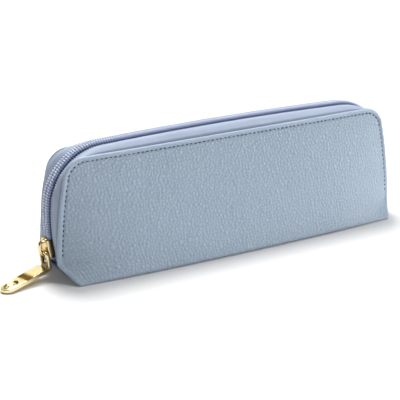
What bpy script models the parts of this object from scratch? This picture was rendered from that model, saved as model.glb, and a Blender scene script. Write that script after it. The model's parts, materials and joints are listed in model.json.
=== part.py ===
"""Zipped pencil case: a soft box on a flat base, opened by one zip that runs up one end,
along the top and down the other end.  Lengths are in metres, +Z is up, +X runs along the case,
and the origin is the middle of the base on the surface that the case stands on.

The leather body is divided at its two fold lines into front panel, base and back panel, because
the front half swings forward about the fold along the front of the base when the zip is open.
"""
import math

import bmesh
import bpy
import numpy as np
from mathutils import Matrix, Vector

# --- base ---------------------------------------------------------------------------------
BASE_HALF_LENGTH = 0.0943
BASE_HALF_WIDTH = 0.02285
BASE_BOW = 0.0020              # how far the long edges of the base bow out in the middle
BASE_LEATHER = 0.0012
BOARD_THICKNESS = 0.0014
LAYER_GAP = 0.0003             # clearance between pieces that touch

# --- panels: their outer edge lies in a plane on each side of the zip -----------------------
EDGE_Y = 0.01055               # distance of that plane from the middle of the case
END_X = 0.1020                 # half length of the case where the zip band starts
END_Z = 0.00955                # height of the lower corner of a panel's end
TOP_X = 0.0957                 # half length at the top, before the corner is rounded
TOP_Z = 0.0625
CORNER_RADIUS = 0.0123
END_BULGE = 0.0009
PANEL_THICKNESS = 0.0011
PANEL_FULLNESS = 0.0010        # padding of the panel between base and top
PANEL_LOWEST = 0.0003
WRAP_POWER = 5                 # how late a panel turns in towards its ends
FOAM_THICKNESS = 0.0010
LINING_THICKNESS = 0.0004
LAYER_INSET = 0.0036           # foam and lining stop this far inside the panel's edge
LAYER_LOWEST = 0.0042

# --- zip line: an arc up each end, a rounder corner, and a slightly crowned top -------------
ZIP_END_X = 0.1019             # furthest point of the end arc
ZIP_END_Z = 0.0300             # height of that point
ZIP_END_RADIUS = 0.1000
ZIP_START_Z = 0.0065
ZIP_ARC_TOP_Z = 0.0380
ZIP_SHOULDER_Z = 0.0657        # height of the zip line where the top starts
ZIP_CROWN = 0.0012
BAND_Y = 0.0048                # inner edge of the leather bands beside the zip
BAND_OUTER_Y = 0.0090
BAND_ARCH = 1.25
BAND_THICKNESS = 0.0010
TAPE_DEPTH = 0.00135           # tape and coil, measured down from the band's outer surface
TAPE_THICKNESS = 0.0005
TAPE_INNER_Y = 0.0007
TAPE_OUTER_Y = 0.0085
BAND_LINING_DEPTH = 0.0022
BAND_LINING_Y = 0.0055         # its inner edge, clear of the slider all the way up
COIL_RADIUS = 0.00110
COIL_Y = 0.00170
COIL_RISE = 0.00005
COIL_FIRST = 0.020             # share of the half path where a whole coil may start

# --- slider, link and tab -------------------------------------------------------------------
SLIDER_Z = 0.0160              # height of the slider's middle when the zip is closed
SLIDER_LENGTH = 0.0105
SLIDER_HALF_WIDTH = 0.0044
SLIDER_CLEARANCE = 0.0012      # above the slider, where the front tape and coil start
SLIDER_TOP = 0.0025            # outer face of the slider, above the zip line
SLIDER_BOTTOM = -0.0036
CHANNEL_TOP = 0.0015
CHANNEL_FLOOR = -0.0026
CHANNEL_HALF_WIDTH = 0.0033
SLOT_TOP = -0.00075
POST_HALF_THICKNESS = 0.0003
POST_LENGTH = 0.0032
BRIDGE_HALF_WIDTH = 0.0014
BRIDGE_THICKNESS = 0.0011
BRIDGE_RISE = 0.0039
BRIDGE_HALF_LENGTH = 0.0042
LINK_WIRE_RADIUS = 0.00095
LINK_WIDTH = 0.0066            # between the middles of its side bars
LINK_LENGTH = 0.0082           # between the middles of its end bars
LINK_CORNER = 0.0014
LINK_SEAT = (-0.00160, 0.0039)  # middle of its upper bar along and above the slider
LINK_SIDE_SHIFT = -0.0008
LINK_YAW = math.radians(5)
LINK_TILT = math.radians(7)
TAB_YAW = math.radians(16.5)
TAB_LENGTH = 0.0285
TAB_HALF_WIDTH = 0.0040
TAB_THICKNESS = 0.0020
TAB_PITCH = math.radians(9.4)
EYE_RADIUS = 0.0023
EYE_BORE = 0.0015
EYE_HALF_WIDTH = 0.0017
TAB_DISH_DEPTH = 0.0004

HINGE_Y = -(BASE_HALF_WIDTH + BASE_BOW)

SIDES = {"front": -1, "back": 1}


# --- materials ------------------------------------------------------------------------------
def finish(name, colour, roughness, metallic=0.0):
    """A Principled material with one colour, roughness and metallic value."""
    material = bpy.data.materials.new(name)
    material.use_nodes = True
    shader = material.node_tree.nodes["Principled BSDF"]
    shader.inputs["Base Color"].default_value = (*colour, 1.0)
    shader.inputs["Roughness"].default_value = roughness
    shader.inputs["Metallic"].default_value = metallic
    return material


FINISHES = {
    "leather": ((0.32, 0.41, 0.51), 0.55),
    "band": ((0.34, 0.42, 0.56), 0.45),
    "tape": ((0.36, 0.45, 0.60), 0.80),
    "coil": ((0.45, 0.55, 0.72), 0.40),
    "foam": ((0.80, 0.80, 0.78), 0.95),
    "board": ((0.30, 0.30, 0.31), 0.80),
    "lining": ((0.22, 0.29, 0.38), 0.85),
    "thread": ((0.08, 0.12, 0.20), 0.70),
    "gold": ((0.83, 0.68, 0.40), 0.18, 1.0),
}


# --- helpers --------------------------------------------------------------------------------
def clear_scene():
    """Remove every object that is in the file."""
    for item in list(bpy.data.objects):
        bpy.data.objects.remove(item, do_unlink=True)


def add_object(name, data, look):
    """Link a new object that has its own material."""
    item = bpy.data.objects.new(name, data)
    bpy.context.scene.collection.objects.link(item)
    data.materials.append(finish(name + "_finish", *FINISHES[look]))
    return item


def pivot(name, place, turn=(0.0, 0.0, 0.0)):
    """An empty on a joint's axis, which the moving pieces have as their parent."""
    item = bpy.data.objects.new(name, None)
    item.empty_display_size = 0.01
    item.location = place
    item.rotation_euler = turn
    bpy.context.scene.collection.objects.link(item)
    bpy.context.view_layer.update()
    return item


def hang_on(item, parent):
    """Parent an object and keep it where it is."""
    item.parent = parent
    item.matrix_parent_inverse = parent.matrix_world.inverted()


def soften(item, width, segments=1):
    """Round the edges of a hard piece."""
    bevel = item.modifiers.new("soft_edges", "BEVEL")
    bevel.width = width
    bevel.segments = segments
    bevel.limit_method = "ANGLE"


def grid_normals(grid):
    """Unit normals of a grid of points, pointing away from the middle of the case."""
    along, across = np.gradient(grid, axis=0), np.gradient(grid, axis=1)
    normals = np.cross(along, across)
    normals /= np.linalg.norm(normals, axis=2, keepdims=True)
    away = grid - np.array([0.0, 0.0, 0.5 * TOP_Z])
    return normals * np.sign(np.sum(normals * away, axis=(0, 1, 2)))


def sheet(name, grid, depth, thickness, look, floor=PANEL_LOWEST):
    """A closed sheet that lies a given depth inside a grid of surface points, above a floor."""
    normals = grid_normals(grid)
    rows, columns = grid.shape[:2]
    mesh = bmesh.new()
    layers = []
    for level in (depth, depth + thickness):
        points = grid - normals * level
        points[:, :, 2] = np.maximum(points[:, :, 2], floor)
        layers.append([[mesh.verts.new(points[i, j]) for j in range(columns)] for i in range(rows)])
    outer, inner = layers
    for i in range(rows - 1):
        for j in range(columns - 1):
            for face in (outer, inner):
                mesh.faces.new((face[i][j], face[i + 1][j], face[i + 1][j + 1], face[i][j + 1]))
    rims = ([(outer[i][0], inner[i][0]) for i in range(rows)],
            [(outer[i][-1], inner[i][-1]) for i in range(rows)],
            list(zip(outer[0], inner[0])), list(zip(outer[-1], inner[-1])))
    for rim in rims:
        for (a, b), (c, d) in zip(rim[:-1], rim[1:]):
            mesh.faces.new((a, b, d, c))
    bmesh.ops.recalc_face_normals(mesh, faces=mesh.faces)
    data = bpy.data.meshes.new(name)
    mesh.to_mesh(data)
    mesh.free()
    data.shade_smooth()
    data.set_sharp_from_angle(angle=math.radians(40))
    return add_object(name, data, look)


def prism(name, outline, low, high, look, axis="Z"):
    """An outline of 2-D points, extruded from low to high along Z or along Y."""
    mesh = bmesh.new()
    if axis == "Z":
        verts = [mesh.verts.new((x, y, low)) for x, y in outline]
        step = Vector((0.0, 0.0, high - low))
    else:
        verts = [mesh.verts.new((x, low, z)) for x, z in outline]
        step = Vector((0.0, high - low, 0.0))
    face = mesh.faces.new(verts)
    grown = bmesh.ops.extrude_face_region(mesh, geom=[face])
    moved = [part for part in grown["geom"] if isinstance(part, bmesh.types.BMVert)]
    bmesh.ops.translate(mesh, verts=moved, vec=step)
    bmesh.ops.recalc_face_normals(mesh, faces=mesh.faces)
    data = bpy.data.meshes.new(name)
    mesh.to_mesh(data)
    mesh.free()
    return add_object(name, data, look)


def tube(name, points, radius, look, closed=False):
    """A round rod along a list of points."""
    curve = bpy.data.curves.new(name, "CURVE")
    curve.dimensions = "3D"
    curve.bevel_depth = radius
    curve.bevel_resolution = 1
    curve.use_fill_caps = not closed
    spline = curve.splines.new("POLY")
    spline.points.add(len(points) - 1)
    for target, point in zip(spline.points, points):
        target.co = (*point, 1.0)
    spline.use_cyclic_u = closed
    return add_object(name, curve, look)


def box(name, low, high, look):
    """A box between two opposite corners."""
    outline = [(low[0], low[1]), (high[0], low[1]), (high[0], high[1]), (low[0], high[1])]
    return prism(name, outline, low[2], high[2], look)


def combine(item, tool, operation, place):
    """Add a hidden tool object to a solid, or cut it away, by a Boolean modifier."""
    tool.matrix_world = place
    tool.hide_render = True
    tool.display_type = "WIRE"
    change = item.modifiers.new(tool.name, "BOOLEAN")
    change.operation = operation
    change.solver = "EXACT"
    change.object = tool


def arc(centre, radius, first, last, count):
    """Points of a circular arc in a plane, from one angle to another."""
    angles = np.linspace(first, last, count)
    return np.stack([centre[0] + radius * np.cos(angles), centre[1] + radius * np.sin(angles)], axis=1)


# --- outlines -------------------------------------------------------------------------------
def panel_outline(inset=0.0, side_points=8, corner_points=6):
    """Half of a panel's outline as X and Z: up the end and round the top corner."""
    start = np.array([END_X - inset, END_Z])
    corner = np.array([TOP_X - inset, TOP_Z - inset])
    radius = CORNER_RADIUS - inset
    up = (corner - start) / np.linalg.norm(corner - start)
    half_angle = 0.5 * math.acos(up[0])
    reach = radius / math.tan(half_angle)
    tangent = corner - up * reach
    rise = np.linspace(0.0, 1.0, side_points, endpoint=False)[:, None]
    side = start + (tangent - start) * rise
    side[:, 0] += END_BULGE * 4.0 * rise[:, 0] * (1.0 - rise[:, 0])
    centre = (corner[0] - reach, corner[1] - radius)
    first = math.atan2(tangent[1] - centre[1], tangent[0] - centre[0])
    return np.vstack([side, arc(centre, radius, first, 0.5 * math.pi, corner_points)])


def zip_outline(end_points=12, corner_points=20, top_points=12):
    """Half of the zip line as X and Z: the end arc, the corner and the crowned top."""
    centre = np.array([ZIP_END_X - ZIP_END_RADIUS, ZIP_END_Z])
    first = math.asin((ZIP_START_Z - ZIP_END_Z) / ZIP_END_RADIUS)
    last = math.asin((ZIP_ARC_TOP_Z - ZIP_END_Z) / ZIP_END_RADIUS)
    radius = (ZIP_SHOULDER_Z - ZIP_ARC_TOP_Z) / (1.0 - math.sin(last))
    shift = ZIP_END_RADIUS - radius
    corner = centre + shift * np.array([math.cos(last), math.sin(last)])
    end = arc(centre, ZIP_END_RADIUS, first, last, end_points)
    bend = arc(corner, radius, last, 0.5 * math.pi, corner_points)
    x = np.linspace(corner[0], 0.0, top_points)
    top = np.stack([x, ZIP_SHOULDER_Z + ZIP_CROWN * (1.0 - (x / corner[0]) ** 2)], axis=1)
    return np.vstack([end[:-1], bend[:-1], top])


def along(outline, shares):
    """Points of an outline at given shares of its length."""
    steps = np.linalg.norm(np.diff(outline, axis=0), axis=1)
    length = np.concatenate([[0.0], np.cumsum(steps)])
    wanted = np.asarray(shares) * length[-1]
    return np.stack([np.interp(wanted, length, outline[:, k]) for k in (0, 1)], axis=1)


def path_shares(first=0.0):
    """Shares of the half path, closer together round the corner."""
    end = np.linspace(first, 0.19, 4, endpoint=False)
    bend = np.linspace(0.19, 0.51, 10, endpoint=False)
    top = np.linspace(0.51, 1.0, 5)
    return np.concatenate([end, bend, top])


def roof_grid(offsets, side, first=0.0):
    """Surface over the mouth of the case: rows follow the zip, columns lie at the offsets."""
    shares = path_shares(first)
    zip_line = along(zip_outline(), shares)
    edge = along(np.vstack([panel_outline(0.0, 12, 10), [[0.0, TOP_Z]]]), shares)
    columns = []
    for offset in offsets:
        blend = max(0.0, (offset - BAND_Y) / (EDGE_Y - BAND_Y)) ** BAND_ARCH
        line = (1.0 - blend) * zip_line + blend * edge
        columns.append(np.stack([line[:, 0], np.full(len(line), side * offset), line[:, 1]], axis=1))
    half = np.stack(columns, axis=1)
    mirrored = half[::-1] * np.array([-1.0, 1.0, 1.0])
    return np.concatenate([half[:-1], mirrored], axis=0)


def panel_grid(side, inset=0.0, lowest=PANEL_LOWEST, columns=15):
    """Outer surface of a panel: rows go up the case, columns run from end to end."""
    low_rise = np.linspace(lowest, END_Z, 3, endpoint=False)
    chamfer = (END_X - BASE_HALF_LENGTH) * low_rise / END_Z
    low = np.stack([BASE_HALF_LENGTH + chamfer - inset, low_rise], axis=1)
    rows = np.vstack([low, panel_outline(inset)])
    height = rows[:, 1]
    drop = np.clip(1.0 - height / END_Z, 0.0, 1.0)
    edge_y = EDGE_Y + (BASE_HALF_WIDTH - EDGE_Y) * drop
    level = np.clip(height / TOP_Z, 0.0, 1.0)
    middle_y = BASE_HALF_WIDTH + (EDGE_Y - BASE_HALF_WIDTH) * level
    middle_y += PANEL_FULLNESS * 4.0 * level * (1.0 - level)
    spread = np.linspace(-1.0, 1.0, columns)
    spread = np.sign(spread) * (1.0 - (1.0 - np.abs(spread)) ** 1.5)
    turn = 1.0 - np.abs(spread) ** WRAP_POWER
    bow = BASE_BOW * np.outer((1.0 - level) ** 2, 1.0 - spread ** 2)
    y = edge_y[:, None] + (middle_y - edge_y)[:, None] * turn[None, :] + bow
    x = np.outer(rows[:, 0], spread)
    z = np.repeat(height[:, None], columns, axis=1)
    return np.stack([x, side * y, z], axis=2)


def base_outline(half_length, half_width, count=9):
    """Footprint with straight ends and slightly bowed long edges."""
    x = np.linspace(-half_length, half_length, count)
    y = half_width + BASE_BOW * (1.0 - (x / half_length) ** 2)
    front = np.stack([x, -y], axis=1)
    back = np.stack([x[::-1], y[::-1]], axis=1)
    return np.vstack([front, back])


# --- soft pieces ----------------------------------------------------------------------------
def build_base():
    """Leather base, the stiff board over it and the lining over the board."""
    leather_top = BASE_LEATHER
    board_low = leather_top + LAYER_GAP
    board_top = board_low + BOARD_THICKNESS
    lining_low = board_top + LAYER_GAP
    prism("base_panel", base_outline(BASE_HALF_LENGTH - 0.0019, BASE_HALF_WIDTH - 0.0026),
          0.0, leather_top, "leather")
    prism("base_board", base_outline(BASE_HALF_LENGTH - 0.0030, BASE_HALF_WIDTH - 0.0050),
          board_low, board_top, "board")
    prism("lining_base", base_outline(BASE_HALF_LENGTH - 0.0030, BASE_HALF_WIDTH - 0.0056),
          lining_low, lining_low + LINING_THICKNESS, "lining")


def build_half(word):
    """One side of the case: panel, foam, lining, zip band, band lining, tape and coil."""
    side = SIDES[word]
    foam_depth = PANEL_THICKNESS + LAYER_GAP
    lining_depth = foam_depth + FOAM_THICKNESS + LAYER_GAP
    inner = panel_grid(side, LAYER_INSET, LAYER_LOWEST)
    pieces = [
        sheet(word + "_panel", panel_grid(side), 0.0, PANEL_THICKNESS, "leather"),
        sheet(word + "_foam", inner, foam_depth, FOAM_THICKNESS, "foam", LAYER_LOWEST),
        sheet("lining_" + word, inner, lining_depth, LINING_THICKNESS, "lining", LAYER_LOWEST),
    ]
    band = roof_grid(np.linspace(BAND_Y, BAND_OUTER_Y, 3), side)
    tape = roof_grid([TAPE_INNER_Y, BAND_Y - 0.0002, TAPE_OUTER_Y], side)
    if word == "front":
        tape = clear_of_slider(tape)
    band_lining = roof_grid([BAND_LINING_Y, BAND_OUTER_Y - 0.0002], side, 0.02)
    pieces += [
        sheet(word + "_band", band, 0.0, BAND_THICKNESS, "band"),
        sheet("zip_tape_" + word, tape, TAPE_DEPTH, TAPE_THICKNESS, "tape"),
        sheet("band_lining_" + word, band_lining, BAND_LINING_DEPTH, LINING_THICKNESS, "lining"),
        build_coil(word, side),
    ]
    return pieces


def clear_of_slider(grid):
    """A grid of the front half without the rows beside and below the closed slider."""
    clear_z = SLIDER_Z + 0.5 * SLIDER_LENGTH + SLIDER_CLEARANCE
    low = (grid[:, 0, 0] < 0.0) & (grid[:, 0, 2] < clear_z)
    above, below = grid[~low], grid[low][0]
    share = (clear_z - below[0, 2]) / (above[-1, 0, 2] - below[0, 2])
    return np.concatenate([above, [below + share * (above[-1] - below)]], axis=0)


def build_coil(word, side):
    """The coil of one tape as a plain rod.  The front one starts above the slider."""
    line = roof_grid([COIL_Y - 0.0002, COIL_Y, COIL_Y + 0.0002], side, COIL_FIRST)
    raised = line + grid_normals(line) * COIL_RISE
    if word == "front":
        raised = clear_of_slider(raised)
    return tube("zip_coil_" + word, raised[:, 1], COIL_RADIUS, "coil")


def build_end_gusset(word, way):
    """The slanting piece that joins the short edge of the base to the lower end of the bands."""
    half = np.linspace(0.0, EDGE_Y - 0.0020, 4)
    lower_row = np.stack([roof_grid([offset], 1)[0, 0] for offset in half], axis=0)
    lower_row[:, 2] -= 0.0012
    top = np.vstack([lower_row[::-1] * np.array([1.0, -1.0, 1.0]), lower_row[1:]])
    bottom = np.stack([np.full(len(top), BASE_HALF_LENGTH),
                       top[:, 1] / top[-1, 1] * (BASE_HALF_WIDTH - 0.0026),
                       np.full(len(top), PANEL_LOWEST)], axis=1)
    rise = np.linspace(0.0, 1.0, 4)[:, None, None]
    grid = bottom[None] * (1.0 - rise) + top[None] * rise
    grid = grid * np.array([way, 1.0, 1.0])
    sheet("end_gusset_" + word, grid, 0.0, BAND_THICKNESS, "band")


def build_bar_tack(word, way):
    """Bar of close stitches that stops the zip at one end."""
    centre_x = ZIP_END_X - ZIP_END_RADIUS
    angle = math.asin((ZIP_START_Z + 0.0012 - ZIP_END_Z) / ZIP_END_RADIUS)
    near = ZIP_END_RADIUS - TAPE_DEPTH + LAYER_GAP
    item = box("bar_tack_" + word, (near, -0.0026, -0.0006), (near + 0.0006, 0.0026, 0.0006), "thread")
    turn = Matrix.Rotation(-angle if way > 0 else math.pi + angle, 4, "Y")
    item.matrix_world = Matrix.Translation((way * centre_x, 0.0, ZIP_END_Z)) @ turn


# --- slider, link and tab -------------------------------------------------------------------
def slider_box(name, along_range, y_range, height_range, look="gold"):
    """A box given along the zip, across it and above the zip line, on the slider's pivot."""
    low = (-(ZIP_END_RADIUS + height_range[1]), y_range[0], along_range[0])
    high = (-(ZIP_END_RADIUS + height_range[0]), y_range[1], along_range[1])
    return box(name, low, high, look)


def build_slider(place):
    """Slider body: two plates, side flanges and the post that parts the coils."""
    half = 0.5 * SLIDER_LENGTH
    body = slider_box("slider_body", (-half, half), (-SLIDER_HALF_WIDTH, SLIDER_HALF_WIDTH),
                      (SLIDER_BOTTOM, SLIDER_TOP))
    body.matrix_world = place
    past = half + 0.001
    channel = (CHANNEL_FLOOR, CHANNEL_TOP)
    slot = (CHANNEL_FLOOR, SLOT_TOP)
    outside = SLIDER_HALF_WIDTH + 0.001
    cuts = {
        "channel_front": ((-past, past), (-CHANNEL_HALF_WIDTH, -POST_HALF_THICKNESS), channel),
        "channel_back": ((-past, past), (POST_HALF_THICKNESS, CHANNEL_HALF_WIDTH), channel),
        "channel_merge": ((POST_LENGTH - half, past), (-0.0010, 0.0010), channel),
        "slot_front": ((-past, past), (-outside, -0.0030), slot),
        "slot_back": ((-past, past), (0.0030, outside), slot),
    }
    for name, (along_range, y_range, height_range) in cuts.items():
        combine(body, slider_box(name, along_range, y_range, height_range), "DIFFERENCE", place)
    soften(body, 0.0003)
    return body


def build_bridge(place):
    """Arched bridge over the slider, which holds the link."""
    foot = -(ZIP_END_RADIUS + SLIDER_TOP + LAYER_GAP)
    angles = np.linspace(0.0, math.pi, 11)
    ends = []
    for inset in (0.0, BRIDGE_THICKNESS):
        reach = BRIDGE_HALF_LENGTH - inset
        rise = BRIDGE_RISE - LAYER_GAP - inset
        swell = np.sin(angles) ** 0.7
        ends.append(np.stack([foot - rise * swell, reach * np.cos(angles)], axis=1))
    outline = np.vstack([ends[0], ends[1][::-1]])
    item = prism("slider_bridge", outline, -BRIDGE_HALF_WIDTH, BRIDGE_HALF_WIDTH, "gold", axis="Y")
    item.matrix_world = place
    soften(item, 0.0002)
    return item


def build_link(place):
    """Closed link of round wire, hanging from the bridge in its own Y-Z plane."""
    half = 0.5 * LINK_WIDTH - LINK_CORNER
    corners = [(half, -LINK_CORNER, 0.0), (-half, -LINK_CORNER, 0.5),
               (-half, LINK_CORNER - LINK_LENGTH, 1.0), (half, LINK_CORNER - LINK_LENGTH, 1.5)]
    points = []
    for y, z, quarter in corners:
        bend = arc((y, z), LINK_CORNER, quarter * math.pi, (quarter + 0.5) * math.pi, 4)
        points.extend((0.0, across, up) for across, up in bend)
    item = tube("pull_link", points, LINK_WIRE_RADIUS, "gold", closed=True)
    item.matrix_world = place
    return item


def tab_outline():
    """Flat tab seen from above: narrow at the eye, full width, then a round end."""
    neck = [(-0.0018, EYE_HALF_WIDTH), (-0.0026, EYE_HALF_WIDTH + 0.0003),
            (-0.0034, TAB_HALF_WIDTH - 0.0006), (-0.0050, TAB_HALF_WIDTH)]
    end = arc((TAB_HALF_WIDTH - TAB_LENGTH, 0.0), TAB_HALF_WIDTH, 0.5 * math.pi, math.pi, 6)
    upper = np.vstack([neck, end])
    lower = upper[::-1] * np.array([1.0, -1.0])
    return np.vstack([upper, lower[1:]])


def cylinder(name, radius, low, high, scale=1.0, sides=16):
    """A round rod along Y, or an oval one along Z when scale is not 1."""
    angles = np.linspace(0.0, 2.0 * math.pi, sides, endpoint=False)
    outline = np.stack([scale * radius * np.cos(angles), radius * np.sin(angles)], axis=1)
    return prism(name, outline, low, high, "gold", axis="Y" if scale == 1.0 else "Z")


def build_tab(place):
    """Pull tab with an eye round the link's lower bar and an oval dish near its round end."""
    half = 0.5 * TAB_THICKNESS
    tab = prism("pull_tab", tab_outline(), -half, half, "gold")
    tab.matrix_world = place
    combine(tab, cylinder("eye_barrel", EYE_RADIUS, -EYE_HALF_WIDTH, EYE_HALF_WIDTH), "UNION", place)
    combine(tab, cylinder("eye_bore", EYE_BORE, -0.004, 0.004), "DIFFERENCE", place)
    dish = cylinder("tab_dish", 0.0027, half - TAB_DISH_DEPTH, half + 0.001, scale=1.45)
    dish.data.transform(Matrix.Translation((0.0056 - TAB_LENGTH, 0.0, 0.0)))
    combine(tab, dish, "DIFFERENCE", place)
    soften(tab, 0.00025)
    return tab


def build_pull(slider_pivot):
    """Slider, bridge, link and tab, each on the pivot that it moves about."""
    place = slider_pivot.matrix_world
    for item in (build_slider(place), build_bridge(place)):
        hang_on(item, slider_pivot)
    seat_along, seat_height = LINK_SEAT
    seat = place @ Vector((-(ZIP_END_RADIUS + seat_height), LINK_SIDE_SHIFT, seat_along))
    link_pivot = pivot("link_pivot", seat, (0.0, -LINK_TILT, LINK_YAW))
    hang_on(build_link(link_pivot.matrix_world), link_pivot)
    low_bar = link_pivot.matrix_world @ Vector((0.0, 0.0, -LINK_LENGTH))
    tab_pivot = pivot("tab_pivot", low_bar, (0.0, -TAB_PITCH, TAB_YAW))
    hang_on(build_tab(tab_pivot.matrix_world), tab_pivot)
    hang_on(link_pivot, slider_pivot)
    hang_on(tab_pivot, link_pivot)


def main():
    """Build every piece of the closed case."""
    clear_scene()
    build_base()
    front_pivot = pivot("front_pivot", (0.0, HINGE_Y, 0.0))
    for item in build_half("front"):
        hang_on(item, front_pivot)
    build_half("back")
    for word, way in (("left", -1), ("right", 1)):
        build_end_gusset(word, way)
        build_bar_tack(word, way)
    lift = math.asin((SLIDER_Z - ZIP_END_Z) / ZIP_END_RADIUS)
    centre_x = ZIP_END_RADIUS - ZIP_END_X
    build_pull(pivot("slider_pivot", (centre_x, 0.0, ZIP_END_Z), (0.0, lift, 0.0)))


main()
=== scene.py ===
"""Zipped pencil case in pebbled artificial leather with a gold slider, link and pull tab.

Lengths are in metres, +Z is up and +X runs along the case.  Every soft surface is a function of a
share along the zip, or of height and length on a panel, worked out as whole numpy arrays.
"""
from __future__ import annotations

import json
import logging
import math
from dataclasses import dataclass, field
from enum import Enum

import bmesh
import bpy
import numpy as np
from mathutils import Euler, Matrix, Vector


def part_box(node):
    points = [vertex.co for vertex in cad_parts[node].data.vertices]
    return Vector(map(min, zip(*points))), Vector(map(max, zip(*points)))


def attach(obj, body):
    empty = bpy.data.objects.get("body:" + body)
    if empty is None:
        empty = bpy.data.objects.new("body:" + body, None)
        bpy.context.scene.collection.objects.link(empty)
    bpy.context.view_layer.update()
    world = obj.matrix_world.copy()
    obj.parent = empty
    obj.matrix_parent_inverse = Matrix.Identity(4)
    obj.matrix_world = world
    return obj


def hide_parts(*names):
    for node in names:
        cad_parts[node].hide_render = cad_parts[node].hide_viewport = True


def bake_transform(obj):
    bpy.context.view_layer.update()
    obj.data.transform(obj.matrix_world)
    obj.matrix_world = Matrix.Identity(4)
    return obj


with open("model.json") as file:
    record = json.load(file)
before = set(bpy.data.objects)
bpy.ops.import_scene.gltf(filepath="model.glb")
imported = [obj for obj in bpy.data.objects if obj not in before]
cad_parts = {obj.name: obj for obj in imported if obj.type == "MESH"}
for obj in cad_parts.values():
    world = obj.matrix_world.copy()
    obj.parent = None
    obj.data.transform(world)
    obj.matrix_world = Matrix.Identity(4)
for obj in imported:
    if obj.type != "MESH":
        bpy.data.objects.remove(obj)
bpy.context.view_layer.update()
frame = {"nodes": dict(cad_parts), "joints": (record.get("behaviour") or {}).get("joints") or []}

LOG = logging.getLogger("pencil_case")
MM = 0.001
FULL_TURN = 2.0 * math.pi
QUARTER_TURN = 0.5 * math.pi
SHARP_ANGLE = math.radians(70)
HUB = 0.02
PEBBLE_WARP = 0.35
PEBBLE_WARP_SCALE = 0.7
SEED_MARGIN = 0.12
SEED_ROOM = 0.76
PEBBLE_STEP = (-0.05, 0.62)
STITCH_STATIONS = np.array([-0.985, -0.72, 0.0, 0.72, 0.985])
STITCH_SIDES = 6


class Side(Enum):
    """The half that swings forward and the half that stays."""

    FRONT = -1
    BACK = 1

    @property
    def word(self) -> str:
        """The side's name in piece names."""
        return self.name.lower()


# --- small geometry ---------------------------------------------------------------------------
def smoothstep(values: np.ndarray, low: float, high: float) -> np.ndarray:
    """A soft step from 0 at low to 1 at high.

    Args:
        values: Where the step is read.
        low: Value at which the step starts.
        high: Value at which the step ends.

    Returns:
        The step's height, 3 t^2 - 2 t^3 with t the share of the way from low to high.
    """
    t = np.clip((np.asarray(values, float) - low) / (high - low), 0.0, 1.0)
    return t * t * (3.0 - 2.0 * t)


def unit(vectors: np.ndarray) -> np.ndarray:
    """The vectors of an array, scaled to length 1."""
    return vectors / np.maximum(np.linalg.norm(vectors, axis=-1, keepdims=True), 1e-12)


def arc(centre: tuple[float, float], radius: float, first: float, last: float,
        count: int) -> np.ndarray:
    """Points of a circular arc in a plane.

    Args:
        centre: Middle of the circle.
        radius: Its radius.
        first: Angle of the first point, in radians.
        last: Angle of the last point.
        count: Number of points.

    Returns:
        An array of count points with two coordinates.
    """
    angles = np.linspace(first, last, count)
    return np.asarray(centre) + radius * np.stack([np.cos(angles), np.sin(angles)], axis=1)


def along(line: np.ndarray, shares: np.ndarray) -> np.ndarray:
    """Points of a line of points at given shares of its length."""
    steps = np.linalg.norm(np.diff(line, axis=0), axis=1)
    length = np.concatenate([[0.0], np.cumsum(steps)])
    wanted = np.asarray(shares) * length[-1]
    return np.stack([np.interp(wanted, length, line[:, k]) for k in range(line.shape[1])], axis=-1)


def hash_unit(first: np.ndarray, second: np.ndarray, salt: float) -> np.ndarray:
    """Repeatable values from 0 to 1 for whole-number cells: the fraction of a large sine."""
    return np.modf(np.abs(np.sin(first * 127.1 + second * 311.7 + salt * 74.7) * 43758.5453))[0]


def value_noise(u: np.ndarray, v: np.ndarray, salt: float = 0.0) -> np.ndarray:
    """Smooth noise from -1 to 1 with one bump per unit: cell values blended by soft steps."""
    cu, cv = np.floor(u), np.floor(v)
    fu, fv = smoothstep(u - cu, 0.0, 1.0), smoothstep(v - cv, 0.0, 1.0)
    low = hash_unit(cu, cv, salt) * (1 - fu) + hash_unit(cu + 1, cv, salt) * fu
    high = hash_unit(cu, cv + 1, salt) * (1 - fu) + hash_unit(cu + 1, cv + 1, salt) * fu
    return 2.0 * (low * (1 - fv) + high * fv) - 1.0


def pebbles(u: np.ndarray, v: np.ndarray, size: float) -> np.ndarray:
    """Pebbled grain from 0 in the creases to 1 on the domes.

    Each cell of a square net holds one jittered seed.  The height is a soft step of the distance
    to the second nearest seed minus the distance to the nearest, so creases run midway.

    Args:
        u: Length along the surface.
        v: Length across it.
        size: Mean width of a pebble.

    Returns:
        Heights of the same shape as u.
    """
    warp, broad = PEBBLE_WARP, PEBBLE_WARP_SCALE
    u = u / size + warp * value_noise(u / size * broad, v / size * broad, 3.0)
    v = v / size + warp * value_noise(u * broad, v / size * broad, 5.0)
    cu, cv = np.floor(u), np.floor(v)
    nearest = np.full(u.shape, 9.0)
    second = np.full(u.shape, 9.0)
    for du in (-1, 0, 1):
        for dv in (-1, 0, 1):
            su, sv = cu + du, cv + dv
            px = su + SEED_MARGIN + SEED_ROOM * hash_unit(su, sv, 1.0)
            py = sv + SEED_MARGIN + SEED_ROOM * hash_unit(su, sv, 2.0)
            distance = np.hypot(u - px, v - py)
            second = np.minimum(second, np.maximum(nearest, distance))
            nearest = np.minimum(nearest, distance)
    return smoothstep(second - nearest, *PEBBLE_STEP)


# --- meshes -----------------------------------------------------------------------------------
def grid_faces(rows: int, columns: int, start: int = 0, around: bool = False) -> np.ndarray:
    """Quads of a grid of vertices.

    Args:
        rows: Number of rows.
        columns: Number of columns.
        start: Index of the grid's first vertex.
        around: Whether the last column joins the first.

    Returns:
        An array of quads.
    """
    i = np.arange(rows - 1)[:, None]
    j = np.arange(columns if around else columns - 1)[None, :]
    k = (j + 1) % columns
    low, high = i * columns, (i + 1) * columns
    quads = np.stack([low + j, low + k, high + k, high + j], -1)
    return quads.reshape(-1, 4) + start


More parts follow.
